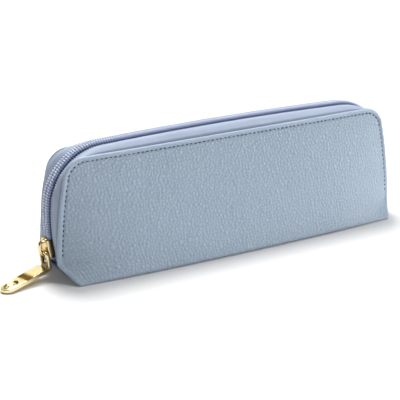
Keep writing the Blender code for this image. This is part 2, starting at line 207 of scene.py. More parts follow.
@dataclass
class Soup:
    """Vertices and faces that are collected for one mesh."""

    points: list[np.ndarray] = field(default_factory=list)
    faces: list[list[int]] = field(default_factory=list)
    uvs: list[np.ndarray] = field(default_factory=list)
    count: int = 0

    def add(self, points: np.ndarray, faces: list[list[int]], uv: np.ndarray | None = None) -> None:
        """Add vertices and the faces among them.

        Args:
            points: Vertices of any leading shape.
            faces: Faces as indices into these vertices.
            uv: Pattern coordinates of the vertices.
        """
        flat = points.reshape(-1, 3)
        self.points.append(flat)
        self.faces.extend([[index + self.count for index in face] for face in faces])
        self.uvs.append(np.zeros((len(flat), 2)) if uv is None else uv.reshape(-1, 2))
        self.count += len(flat)

    def sweep(self, rings: np.ndarray, closed: bool = False, uv: np.ndarray | None = None) -> None:
        """Add a tube given as rings of points, with flat caps unless it closes on itself.

        Args:
            rings: Array of rings, points of a ring and coordinates.
            closed: Whether the last ring joins the first.
            uv: Pattern coordinates of the points.
        """
        count, sides = rings.shape[:2]
        faces = grid_faces(count, sides, around=True).tolist()
        if closed:
            last = (count - 1) * sides
            faces += [[last + j, last + (j + 1) % sides, (j + 1) % sides, j] for j in range(sides)]
        else:
            faces.append(list(range(sides))[::-1])
            faces.append([(count - 1) * sides + j for j in range(sides)])
        self.add(rings, faces, uv)

    def piece(self, name: str, attributes: dict[str, np.ndarray] | None = None) -> bpy.types.Object:
        """Make the collected mesh a smooth object with outward faces.

        Args:
            name: The piece's name.
            attributes: Values per vertex, by attribute name.

        Returns:
            The new object, linked to the scene.
        """
        data = bpy.data.meshes.new(name)
        points = np.concatenate(self.points)
        data.from_pydata(points.tolist(), [], self.faces)
        mesh = bmesh.new()
        mesh.from_mesh(data)
        bmesh.ops.recalc_face_normals(mesh, faces=mesh.faces)
        mesh.to_mesh(data)
        mesh.free()
        data.shade_smooth()
        data.set_sharp_from_angle(angle=SHARP_ANGLE)
        corner = np.zeros(len(data.loops), np.int32)
        data.loops.foreach_get("vertex_index", corner)
        layer = data.uv_layers.new(name="flat")
        layer.data.foreach_set("uv", np.concatenate(self.uvs)[corner].astype(np.float32).ravel())
        for key, values in (attributes or {}).items():
            store = data.attributes.new(key, "FLOAT", "POINT")
            store.data.foreach_set("value", values.astype(np.float32).ravel())
        item = bpy.data.objects.new(name, data)
        bpy.context.scene.collection.objects.link(item)
        return item


def path_frames(path: np.ndarray, reference: np.ndarray,
                closed: bool) -> tuple[np.ndarray, np.ndarray]:
    """Two directions across a path at each of its points.

    Args:
        path: Points of the path.
        reference: A direction, or one per point, that the first result stays close to.
        closed: Whether the path joins up.

    Returns:
        The reference made square to the path, and the direction square to both.
    """
    if closed:
        tangent = np.roll(path, -1, axis=0) - np.roll(path, 1, axis=0)
    else:
        tangent = np.gradient(path, axis=0)
    tangent = unit(tangent)
    first = reference - np.sum(reference * tangent, axis=1, keepdims=True) * tangent
    first = unit(first)
    return first, np.cross(tangent, first)


def swept(path: np.ndarray, reference: np.ndarray | list[float], section: np.ndarray,
          closed: bool = False) -> np.ndarray:
    """Rings of a section carried along a path: path + first * x + second * y."""
    reference = np.broadcast_to(np.asarray(reference, float), path.shape)
    first, second = path_frames(path, reference, closed)
    spread = first[:, None] * section[None, :, :1] + second[:, None] * section[None, :, 1:]
    return path[:, None] + spread


def round_section(width: float, height: float, sides: int, power: float = 2.0) -> np.ndarray:
    """A closed superellipse of half width and half height."""
    angle = np.linspace(0.0, FULL_TURN, sides, endpoint=False)
    c, s = np.cos(angle), np.sin(angle)
    return np.stack([width * np.sign(c) * np.abs(c) ** (2.0 / power),
                     height * np.sign(s) * np.abs(s) ** (2.0 / power)], axis=1)


Levels = list[tuple[np.ndarray, float]]


def rounded_levels(reach: np.ndarray, low: float, high: float, edge: float, steps: int) -> Levels:
    """Rings from the middle of a plate's lower face, round its edge, to the rim of the upper face.

    Args:
        reach: Distance of each outline point from the middle, as a column.
        low: Height of the lower face.
        high: Height of the upper face.
        edge: Radius of the round edges.
        steps: Rings of each round edge.

    Returns:
        The share of the way out and the height of each ring.
    """
    turn = np.linspace(0.0, QUARTER_TURN, steps)
    inset = edge * (1.0 - np.sin(turn))
    drop = edge * (1.0 - np.cos(turn))
    levels = [(np.full_like(reach, HUB), low)]
    levels += [(1.0 - inset[k] / reach, low + drop[k]) for k in range(steps)]
    levels += [(1.0 - inset[k] / reach, high - drop[k]) for k in reversed(range(steps))]
    return levels


def slab_rings(outline: np.ndarray, low: float, high: float, edge: float) -> np.ndarray:
    """Rings of a flat plate with round edges, from the middle of one face to the other's.

    Args:
        outline: Plan outline of the plate, around a middle that every point can be seen from.
        low: Height of one face.
        high: Height of the other face.
        edge: Radius of the round edges.

    Returns:
        Array of rings, outline points and coordinates (plan x, plan y, height).
    """
    middle = outline.mean(axis=0)
    reach = np.linalg.norm(outline - middle, axis=1, keepdims=True)
    levels = rounded_levels(reach, low, high, edge, 5) + [(np.full_like(reach, HUB), high)]
    rings = [np.column_stack([middle + (outline - middle) * share, np.full(len(outline), height)])
             for share, height in levels]
    return np.stack(rings)


# --- the shape of the case --------------------------------------------------------------------
@dataclass(frozen=True)
class CaseShape:
    """Driving sizes of the case and the surfaces that follow from them."""

    base_half_length: float = 94.3 * MM
    base_half_width: float = 22.85 * MM
    base_bow: float = 2.0 * MM
    edge_y: float = 10.55 * MM
    end_x: float = 102.0 * MM
    end_z: float = 9.55 * MM
    top_x: float = 95.7 * MM
    top_z: float = 62.5 * MM
    corner: float = 12.3 * MM
    end_bulge: float = 0.9 * MM
    fullness: float = 1.0 * MM
    wrap_power: float = 5.0
    zip_end: tuple[float, float] = (101.9 * MM, 30.0 * MM)
    zip_radius: float = 100.0 * MM
    zip_start_z: float = 6.5 * MM
    zip_arc_top_z: float = 38.0 * MM
    zip_shoulder_z: float = 65.7 * MM
    zip_crown: float = 1.2 * MM
    band_y: float = 4.8 * MM
    band_arch: float = 1.25

    def corner_values(self, inset: float = 0.0) -> tuple[np.ndarray, float, tuple[float, float], float]:
        """Tangent point, radius, centre and first angle of the panel's round top corner."""
        start = np.array([self.end_x - inset, self.end_z])
        top = np.array([self.top_x - inset, self.top_z - inset])
        radius = self.corner - inset
        up = (top - start) / np.linalg.norm(top - start)
        reach = radius / math.tan(0.5 * math.acos(up[0]))
        tangent = top - up * reach
        centre = (top[0] - reach, top[1] - radius)
        return tangent, radius, centre, math.atan2(tangent[1] - centre[1], tangent[0] - centre[0])

    def panel_outline(self, inset: float = 0.0, count: int = 24) -> np.ndarray:
        """Half of the panel's outline as X and Z, from the foot to the top's middle."""
        tangent, radius, centre, first = self.corner_values(inset)
        start = np.array([self.end_x - inset, self.end_z])
        rise = np.linspace(0.0, 1.0, count, endpoint=False)[:, None]
        side = start + (tangent - start) * rise
        side[:, 0] += self.end_bulge * 4.0 * rise[:, 0] * (1.0 - rise[:, 0])
        bend = arc(centre, radius, first, QUARTER_TURN, count)
        return np.vstack([side, bend, [[0.0, self.top_z - inset]]])

    def half_length(self, height: np.ndarray) -> np.ndarray:
        """Half length of the panel at each height: slanting foot, bulged side, round corner."""
        tangent, radius, centre, _ = self.corner_values()
        foot = self.base_half_length + (self.end_x - self.base_half_length) * height / self.end_z
        rise = (height - self.end_z) / (tangent[1] - self.end_z)
        bulge = self.end_bulge * 4.0 * rise * (1.0 - rise)
        side = self.end_x + (tangent[0] - self.end_x) * rise + bulge
        level = np.clip((height - centre[1]) / radius, 0.0, 1.0)
        bend = centre[0] + radius * np.sqrt(1.0 - level ** 2)
        return np.where(height < self.end_z, foot, np.where(height < tangent[1], side, bend))

    def panel_point(self, side: Side, x: np.ndarray, height: np.ndarray) -> np.ndarray:
        """Points of a panel's plain outer surface above plan length x and height."""
        half = self.half_length(height)
        spread = np.clip(np.abs(x) / half, 0.0, 1.0)
        drop = np.clip(1.0 - height / self.end_z, 0.0, 1.0)
        edge = self.edge_y + (self.base_half_width - self.edge_y) * drop
        level = np.clip(height / self.top_z, 0.0, 1.0)
        middle = self.base_half_width + (self.edge_y - self.base_half_width) * level
        middle = middle + self.fullness * 4.0 * level * (1.0 - level)
        y = edge + (middle - edge) * (1.0 - spread ** self.wrap_power)
        y = y + self.base_bow * (1.0 - level) ** 2 * (1.0 - spread ** 2)
        return np.stack([x, side.value * y, height], axis=-1)

    def panel_normal(self, side: Side, x: np.ndarray, height: np.ndarray) -> np.ndarray:
        """Unit normals of a panel's plain surface, from its slopes along x and height."""
        step = 0.05 * MM
        inward = np.abs(x) > self.half_length(height) - 2.0 * step
        back = np.where(inward, np.sign(x) * step, 0.0)
        low = height - np.where(height > self.top_z - 2.0 * step, step, 0.0)
        lengthwise = (self.panel_point(side, x - back + 0.5 * step, low)
                      - self.panel_point(side, x - back - 0.5 * step, low))
        upward = self.panel_point(side, x - back, low + step) - self.panel_point(side, x - back, low)
        return unit(np.cross(lengthwise, upward) * (1.0 if side is Side.FRONT else -1.0))

    def edge_distance(self, x: np.ndarray, height: np.ndarray) -> np.ndarray:
        """Distance in from the panel's outline, ends, corners and top, as seen from the front."""
        _, radius, centre, _ = self.corner_values()
        slant = 0.80 + 0.19 * smoothstep(height, 0.5 * self.end_z, 1.5 * self.end_z)
        side = (self.half_length(height) - np.abs(x)) * slant
        top = self.top_z - height
        in_corner = (np.abs(x) > centre[0]) & (height > centre[1])
        bend = radius - np.hypot(np.abs(x) - centre[0], height - centre[1])
        return np.where(in_corner, bend, np.minimum(side, top))

    def zip_outline(self, count: int = 40) -> np.ndarray:
        """Half of the zip line as X and Z: end arc, corner arc and slightly crowned top."""
        centre = np.array([self.zip_end[0] - self.zip_radius, self.zip_end[1]])
        first = math.asin((self.zip_start_z - self.zip_end[1]) / self.zip_radius)
        last = math.asin((self.zip_arc_top_z - self.zip_end[1]) / self.zip_radius)
        radius = (self.zip_shoulder_z - self.zip_arc_top_z) / (1.0 - math.sin(last))
        corner = centre + (self.zip_radius - radius) * np.array([math.cos(last), math.sin(last)])
        end = arc(tuple(centre), self.zip_radius, first, last, count)
        bend = arc(tuple(corner), radius, last, QUARTER_TURN, count)
        x = np.linspace(corner[0], 0.0, count)
        top = np.stack([x, self.zip_shoulder_z + self.zip_crown * (1.0 - (x / corner[0]) ** 2)], axis=1)
        return np.vstack([end[:-1], bend[:-1], top])

    def zip_length(self) -> float:
        """Length of the whole zip line, both ends and the top."""
        return 2.0 * float(np.linalg.norm(np.diff(self.zip_outline(), axis=0), axis=1).sum())

    def roof(self, share: np.ndarray, offset: np.ndarray) -> np.ndarray:
        """Points over the mouth of the case.

        The zip line and the panels' edge are matched by share of their length, and a point lies
        between them by its offset from the zip to the power band_arch.

        Args:
            share: Share of the zip's whole length, 0 at the right foot and 1 at the left.
            offset: Signed distance from the middle of the zip, minus at the front.

        Returns:
            Points of the broadcast shape.
        """
        share, offset = np.broadcast_arrays(np.asarray(share, float), np.asarray(offset, float))
        half = 1.0 - np.abs(2.0 * share - 1.0)
        line = along(self.zip_outline(), half)
        edge = along(self.panel_outline(), half)
        reach = np.clip((np.abs(offset) - self.band_y) / (self.edge_y - self.band_y), 0.0, 1.0)
        weight = (reach ** self.band_arch)[..., None]
        mixed = (1.0 - weight) * line + weight * edge
        x = mixed[..., 0] * np.where(share <= 0.5, 1.0, -1.0)
        return np.stack([x, offset, mixed[..., 1]], axis=-1)

    def roof_frame(self, share: np.ndarray,
                   offset: np.ndarray) -> tuple[np.ndarray, np.ndarray, np.ndarray]:
        """Points over the mouth, their unit normals and their unit directions along the zip."""
        share, offset = np.broadcast_arrays(np.asarray(share, float), np.asarray(offset, float))
        step, small = 0.6 * MM / self.zip_length(), 0.2 * MM
        low, high = np.clip(share - step, 0.0, 1.0), np.clip(share + step, 0.0, 1.0)
        forward = unit(self.roof(high, offset) - self.roof(low, offset))
        across = unit(self.roof(share, offset + small) - self.roof(share, offset - small))
        normal = unit(np.cross(across, forward))
        point = self.roof(share, offset)
        outward = np.sign(np.sum(normal * (point - [0.0, 0.0, 0.5 * self.top_z]), -1))
        return point, normal * outward[..., None], forward

    def raised(self, share: np.ndarray, offset: np.ndarray, lift: np.ndarray) -> np.ndarray:
        """Points at a height above the surface over the mouth."""
        point, normal, _ = self.roof_frame(share, offset)
        return point + normal * np.asarray(lift)[..., None]


SHAPE = CaseShape()


# --- shader groups ----------------------------------------------------------------------------
class Tree:
    """A short way to write a node tree."""

    def __init__(self, tree: bpy.types.NodeTree) -> None:
        """Keep the tree that nodes are added to."""
        self.tree = tree

    def feed(self, node: bpy.types.Node, inputs: dict) -> None:
        """Set the inputs of a node, by name or index, to values or output sockets."""
        for key, value in inputs.items():
            if isinstance(value, bpy.types.NodeSocket):
                self.tree.links.new(value, node.inputs[key])
            else:
                node.inputs[key].default_value = value

    def node(self, kind: str, inputs: dict | None = None, **settings) -> bpy.types.Node:
        """Add a node.

        Args:
            kind: The node's type name without its ShaderNode prefix.
            inputs: Values or output sockets by input name or index.
            settings: Attributes of the node.

        Returns:
            The new node.
        """
        made = self.tree.nodes.new(kind if kind.startswith("Node") else "ShaderNode" + kind)
        for key, value in settings.items():
            setattr(made, key, value)
        self.feed(made, inputs or {})
        return made

    def mask(self, name: str) -> bpy.types.NodeSocket:
        """The value that a piece's mesh stores under a name."""
        return self.node("Attribute", attribute_name=name).outputs["Fac"]

    def scaled(self, value, factor: float) -> bpy.types.NodeSocket:
        """A value times a factor."""
        return self.maths("MULTIPLY", value, factor)

    def place(self) -> bpy.types.NodeSocket:
        """The piece's own coordinates."""
        return self.node("TexCoord").outputs["Object"]

    def bump(self, height, strength: float, distance: float) -> bpy.types.NodeSocket:
        """Normals raised by a height."""
        made = self.node("Bump", {"Height": height, "Strength": strength, "Distance": distance})
        return made.outputs[0]

    def maths(self, operation: str, first, second=0.0) -> bpy.types.NodeSocket:
        """The result of a Math node on two values or sockets."""
        return self.node("Math", {0: first, 1: second}, operation=operation).outputs[0]

    def ramp(self, value, low: float, high: float, start: float = 0.0, end: float = 1.0):
        """A value carried softly from the range low to high over to start to end."""
        made = self.node("MapRange", {"Value": value, "From Min": low, "From Max": high,
                                      "To Min": start, "To Max": end}, interpolation_type="SMOOTHSTEP")
        return made.outputs[0]

    def mix(self, share, first, second) -> bpy.types.NodeSocket:
        """A colour between two colours or sockets."""
        return self.node("Mix", {0: share, 6: first, 7: second}, data_type="RGBA").outputs[2]


def shader_group(name: str, inputs: dict[str, float | None], outputs: tuple[str, ...]) -> tuple:
    """A new shader group.

    Args:
        name: The group's name.
        inputs: Default by input name; an input without one is a vector.
        outputs: Names of its value outputs.

    Returns:
        The group, its Tree, the input sockets by name and the output node.
    """
    group = bpy.data.node_groups.new(name, "ShaderNodeTree")
    for key, default in inputs.items():
        kind = "NodeSocketVector" if default is None else "NodeSocketFloat"
        made = group.interface.new_socket(name=key, in_out="INPUT", socket_type=kind)
        if default is not None:
            made.default_value = default
    for key in outputs:
        group.interface.new_socket(name=key, in_out="OUTPUT", socket_type="NodeSocketFloat")
    tree = Tree(group)
    return group, tree, tree.node("NodeGroupInput").outputs, tree.node("NodeGroupOutput")


def tone_group() -> bpy.types.NodeTree:
    """Broad uneven tone: two noises of different size, output from 0 to 1."""
    group, tree, given, out = shader_group("broad_tone", {"Vector": None, "Scale": 40.0}, ("Tone",))
    broad = tree.node("TexNoise", {"Vector": given["Vector"], "Scale": given["Scale"], "Detail": 3.0})
    fine = tree.node("TexNoise", {"Vector": given["Vector"], "Scale": tree.scaled(given["Scale"], 7.0),
                                  "Detail": 2.0})
    total = tree.maths("ADD", tree.scaled(broad.outputs[0], 0.65), tree.scaled(fine.outputs[0], 0.35))
    tree.feed(out, {"Tone": tree.ramp(total, 0.3, 0.7)})
    return group


def pores_group() -> bpy.types.NodeTree:
    """Fine leather surface: small cells and pores for bump, and a mask of the creases."""
    group, tree, given, out = shader_group("leather_pores", {"Vector": None, "Scale": 900.0},
                                           ("Height", "Crease"))
    cells = tree.node("TexVoronoi", {"Vector": given["Vector"], "Scale": given["Scale"]},
                      feature="DISTANCE_TO_EDGE")
    crease = tree.ramp(cells.outputs["Distance"], 0.0, 0.22, 1.0, 0.0)
    pores = tree.node("TexNoise", {"Vector": given["Vector"], "Scale": tree.scaled(given["Scale"], 2.6),
                                   "Detail": 4.0})
    height = tree.maths("SUBTRACT", tree.scaled(pores.outputs[0], 0.5), crease)
    tree.feed(out, {"Height": height, "Crease": crease})
    return group


def weave_group() -> bpy.types.NodeTree:
    """Plain weave on flat coordinates in metres: over and under threads by two sine waves."""
    group, tree, given, out = shader_group("plain_weave", {"Vector": None, "Threads": 2500.0},
                                           ("Height", "Gap"))
    split = tree.node("SeparateXYZ", {0: given["Vector"]})
    scale = tree.scaled(given["Threads"], math.pi)
    lengthwise, crosswise = (tree.maths("SINE", tree.maths("MULTIPLY", split.outputs[axis], scale))
                             for axis in (0, 1))
    product = tree.maths("MULTIPLY", lengthwise, crosswise)
    height = tree.maths("ABSOLUTE", product)
    tree.feed(out, {"Height": tree.maths("ADD", tree.scaled(height, 0.7), tree.scaled(product, 0.3)),
                    "Gap": tree.ramp(height, 0.0, 0.35, 1.0, 0.0)})
    return group


def wear_group() -> bpy.types.NodeTree:
    """Handling marks on metal: long fine scratches and soft finger smears, from 0 to 1."""
    group, tree, given, out = shader_group("handling_marks", {"Vector": None}, ("Scratch", "Smear"))
    stretch = tree.node("Mapping", {"Vector": given["Vector"], "Scale": (1.0, 9.0, 3.0)})
    fine = tree.node("TexNoise", {"Vector": stretch.outputs[0], "Scale": 900.0, "Detail": 5.0})
    smear = tree.node("TexNoise", {"Vector": given["Vector"], "Scale": 170.0, "Detail": 3.0})
    tree.feed(out, {"Scratch": tree.ramp(fine.outputs[0], 0.35, 0.75),
                    "Smear": tree.ramp(smear.outputs[0], 0.35, 0.7)})
    return group


@dataclass(frozen=True)
class Groups:
    """The shared shader groups, built once."""

    tone: bpy.types.NodeTree
    pores: bpy.types.NodeTree
    weave: bpy.types.NodeTree
    wear: bpy.types.NodeTree

    @classmethod
    def build(cls) -> Groups:
        """Build every group."""
        return cls(tone_group(), pores_group(), weave_group(), wear_group())


Colour = tuple[float, float, float, float]


def tint(red: float, green: float, blue: float) -> Colour:
    """A linear colour with full cover."""
    return red, green, blue, 1.0


def started(name: str) -> tuple[bpy.types.Material, Tree, bpy.types.Node]:
    """A new material, its Tree and its Principled shader."""
    material = bpy.data.materials.new(name)
    material.use_nodes = True
    return material, Tree(material.node_tree), material.node_tree.nodes["Principled BSDF"]


@dataclass(frozen=True)
class Leather:
    """Artificial leather with its grain in the mesh and its pores in the shader."""

    name: str
    dome: Colour
    # Crease colour, darker than the domes: painted shade in the creases.
    crease: Colour
    # Edge colour: a painted highlight on the pebbled panel's turned edge, painted shade on the smooth
    # band's tucked outer edge.
    painted_light: Colour
    roughness: float
    bump: float
    pore_scale: float = 1500.0
    # Painted shade in the seam's groove.
    seam_shade: Colour = (0.13, 0.18, 0.27, 1.0)

    def material(self, groups: Groups) -> bpy.types.Material:
        """Colour from grain and broad tone, with painted shade in the creases and the seam's groove and a
        painted edge tone (a highlight on the pebbled panel, shade on the smooth band); pores drive
        roughness and bump.
        """
        material, tree, shader = started(self.name)
        place = tree.place()
        grain = tree.mask("grain")
        tone = tree.node("Group", node_tree=groups.tone)
        tree.feed(tone, {"Vector": place, "Scale": 34.0})
        pores = tree.node("Group", node_tree=groups.pores)
        tree.feed(pores, {"Vector": place, "Scale": self.pore_scale})
        tone, crease = tone.outputs["Tone"], pores.outputs["Crease"]
        # The grain mask takes the crease colour down between the pebbles, and the pores' creases darken a
        # little more: painted shade in the creases.
        colour = tree.mix(grain, self.crease, self.dome)
        lighter = tree.mix(tree.scaled(tone, 0.12), colour, tint(0.44, 0.52, 0.62))
        darker = tree.mix(tree.scaled(crease, 0.10), lighter, self.crease)
        edged = tree.mix(tree.mask("seam_shade"), tree.mix(tree.mask("painted_light"), darker, self.painted_light), self.seam_shade)
        rough = tree.maths("ADD", tree.ramp(grain, 0.0, 1.0, self.roughness + 0.12, self.roughness),
                           tree.scaled(tone, 0.06))
        tree.feed(shader, {"Base Color": edged, "Roughness": rough,
                           "Normal": tree.bump(pores.outputs["Height"], self.bump, 0.06 * MM),
                           "Specular IOR Level": 0.42, "Sheen Weight": 0.06, "Sheen Roughness": 0.5})
        return material


@dataclass(frozen=True)
class Woven:
    """Cloth or tape whose threads follow the piece's flat coordinates."""

    name: str
    thread: Colour
    gap: Colour
    threads: float
    shade: Colour

    def material(self, groups: Groups) -> bpy.types.Material:
        """Thread and gap colours from the weave, with painted shade where the piece's mask says, as on
        the zip tape beside the coil.
        """
        material, tree, shader = started(self.name)
        flat = tree.node("UVMap", uv_map="flat").outputs[0]
        weave = tree.node("Group", node_tree=groups.weave)
        tree.feed(weave, {"Vector": flat, "Threads": self.threads})
        tone = tree.node("Group", node_tree=groups.tone)
        tree.feed(tone, {"Vector": tree.place(), "Scale": 120.0})
        gap = weave.outputs["Gap"]
        colour = tree.mix(gap, self.thread, self.gap)
        uneven = tree.mix(tree.scaled(tone.outputs["Tone"], 0.22), colour, self.gap)
        tree.feed(shader, {"Base Color": tree.mix(tree.mask("painted_light"), uneven, self.shade),
                           "Roughness": tree.ramp(gap, 0.0, 1.0, 0.72, 0.92),
                           "Normal": tree.bump(weave.outputs["Height"], 0.7, 0.12 * MM),
                           "Sheen Weight": 0.25})
        return material


@dataclass(frozen=True)
class Moulded:
    """Nylon, thread or board: a tone with fine noise, and painted shade in the deep colour where the
    piece's mask says, as on the coil's core between its loops.
    """

    name: str
    light: Colour
    dark: Colour
    roughness: float
    scale: float
    bump: float = 0.3
    coat: float = 0.0
    # Painted shade colour, used on the coil's core.
    deep: Colour = (0.24, 0.31, 0.52, 1.0)

    def material(self, groups: Groups) -> bpy.types.Material:
        """Two tones mixed by the broad tone, with the same tone as a faint bump."""
        material, tree, shader = started(self.name)
        made = tree.node("Group", node_tree=groups.tone)
        tree.feed(made, {"Vector": tree.place(), "Scale": self.scale})
        tone = made.outputs["Tone"]
        colour = tree.mix(tree.mask("painted_light"), tree.mix(tone, self.light, self.dark), self.deep)
        rough = tree.ramp(tone, 0.0, 1.0, self.roughness - 0.05, self.roughness + 0.08)
        tree.feed(shader, {"Base Color": colour, "Roughness": rough,
                           "Normal": tree.bump(tone, self.bump, 0.08 * MM), "Coat Weight": self.coat})
        return material


@dataclass(frozen=True)
class PolishedGold:
    """Plated metal with faint scratches, finger smears, and painted shade and a painted reflection in a
    darker brown tone where the piece's mask says.
    """

    name: str
    bright: Colour
    # Dark brown for finger smears and for the painted shade and painted reflection.
    deep: Colour
    roughness: float

    def material(self, groups: Groups) -> bpy.types.Material:
        """Bright plating, deeper where the smears are and where the mask paints shade and a dark
        reflection.
        """
        material, tree, shader = started(self.name)
        wear = tree.node("Group", node_tree=groups.wear)
        tree.feed(wear, {"Vector": tree.place()})
        # The mask paints shade and a dark reflection: the slider's lower part, the inner sides of bridge
        # and link, the tab's dish and a band across the tab.
        smear, scratch, painted_shade_and_reflection = wear.outputs["Smear"], wear.outputs["Scratch"], tree.mask("painted_light")
        smeared = tree.mix(tree.scaled(smear, 0.10), self.bright, self.deep)
        rough = tree.maths("ADD", tree.scaled(smear, 0.06), self.roughness)
        for part in (tree.scaled(painted_shade_and_reflection, 0.10), tree.scaled(scratch, 0.05)):
            rough = tree.maths("ADD", part, rough)
        tree.feed(shader, {"Base Color": tree.mix(painted_shade_and_reflection, smeared, self.deep), "Roughness": rough,
                           "Normal": tree.bump(scratch, 0.06, 0.02 * MM), "Metallic": 1.0,
                           "Specular Tint": tint(0.80, 0.66, 0.40)})
        return material


@dataclass(frozen=True)
class Finishes:
    """Every finish of the case as a material."""

    pebbled: bpy.types.Material
    smooth: bpy.types.Material
    tape: bpy.types.Material
    lining: bpy.types.Material
    coil: bpy.types.Material
    chain_thread: bpy.types.Material
    seam_thread: bpy.types.Material
    board: bpy.types.Material
    gold: bpy.types.Material

    @classmethod
    def build(cls) -> Finishes:
        """Build each finish from its colours."""
        groups = Groups.build()
        made = (
            # Each leather's third colour is painted light: a highlight for the pebbled panel's turned
            # edge, shade for the smooth band's outer edge.
            Leather("pebbled_blue_leather", tint(0.340, 0.422, 0.512), tint(0.270, 0.345, 0.435),
                    tint(0.37, 0.46, 0.58), 0.42, 0.35),
            Leather("smooth_lavender_leather", tint(0.325, 0.385, 0.500), tint(0.245, 0.295, 0.405),
                    tint(0.15, 0.19, 0.31), 0.52, 0.25, 2600.0),
            # The zip tape's last colour is painted shade, a deep navy for the dark gap beside the coil.
            Woven("zip_tape_weave", tint(0.20, 0.28, 0.46), tint(0.07, 0.11, 0.22), 2600.0,
                  tint(0.11, 0.19, 0.48)),
            Woven("lining_weave", tint(0.20, 0.26, 0.34), tint(0.10, 0.14, 0.20), 2200.0,
                  tint(0.12, 0.16, 0.22)),
            Moulded("nylon_coil", tint(0.42, 0.50, 0.69), tint(0.34, 0.42, 0.61), 0.38, 400.0,
                    0.15, 0.2),
            Moulded("chain_stitch_thread", tint(0.88, 0.90, 0.96), tint(0.78, 0.82, 0.92), 0.55,
                    2500.0),
            Moulded("seam_thread", tint(0.038, 0.068, 0.135), tint(0.020, 0.036, 0.080), 0.60, 2500.0),
            Moulded("grey_board", tint(0.30, 0.30, 0.31), tint(0.22, 0.22, 0.23), 0.85, 600.0),
            PolishedGold("polished_pale_gold", tint(0.90, 0.75, 0.44), tint(0.10, 0.052, 0.012), 0.08),
        )
        return cls(*(finish.material(groups) for finish in made))


# --- riding -----------------------------------------------------------------------------------
def dress(item: bpy.types.Object, material: bpy.types.Material) -> None:
    """Give a piece its material."""
    item.data.materials.clear()
    item.data.materials.append(material)


def hang(item: bpy.types.Object, material: bpy.types.Material, slot: str, side: Side,
         *nodes: str) -> None:
    """Dress a soft piece and hang a back piece on its half.

    A back piece rides on the back half, and a front piece has its place baked into its mesh and rides on
    no body.

    Args:
        item: The piece.
        material: Its material.
        slot: The record's slot; not used.
        side: Its half.
        nodes: CAD nodes that it replaces.
    """
    dress(item, material)
    if side is Side.BACK:
        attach(item, "back_half")
    else:
        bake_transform(item)
    if nodes:
        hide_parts(*nodes)
    LOG.info("%s: %d faces", item.name, len(item.data.polygons))


def fasten(item: bpy.types.Object, material: bpy.types.Material, body: str,
           node: str) -> None:
    """Dress a piece, let it ride on a body and hide the CAD node that it replaces."""
    dress(item, material)
    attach(item, body)
    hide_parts(node)
    LOG.info("%s: %d faces", item.name, len(item.data.polygons))


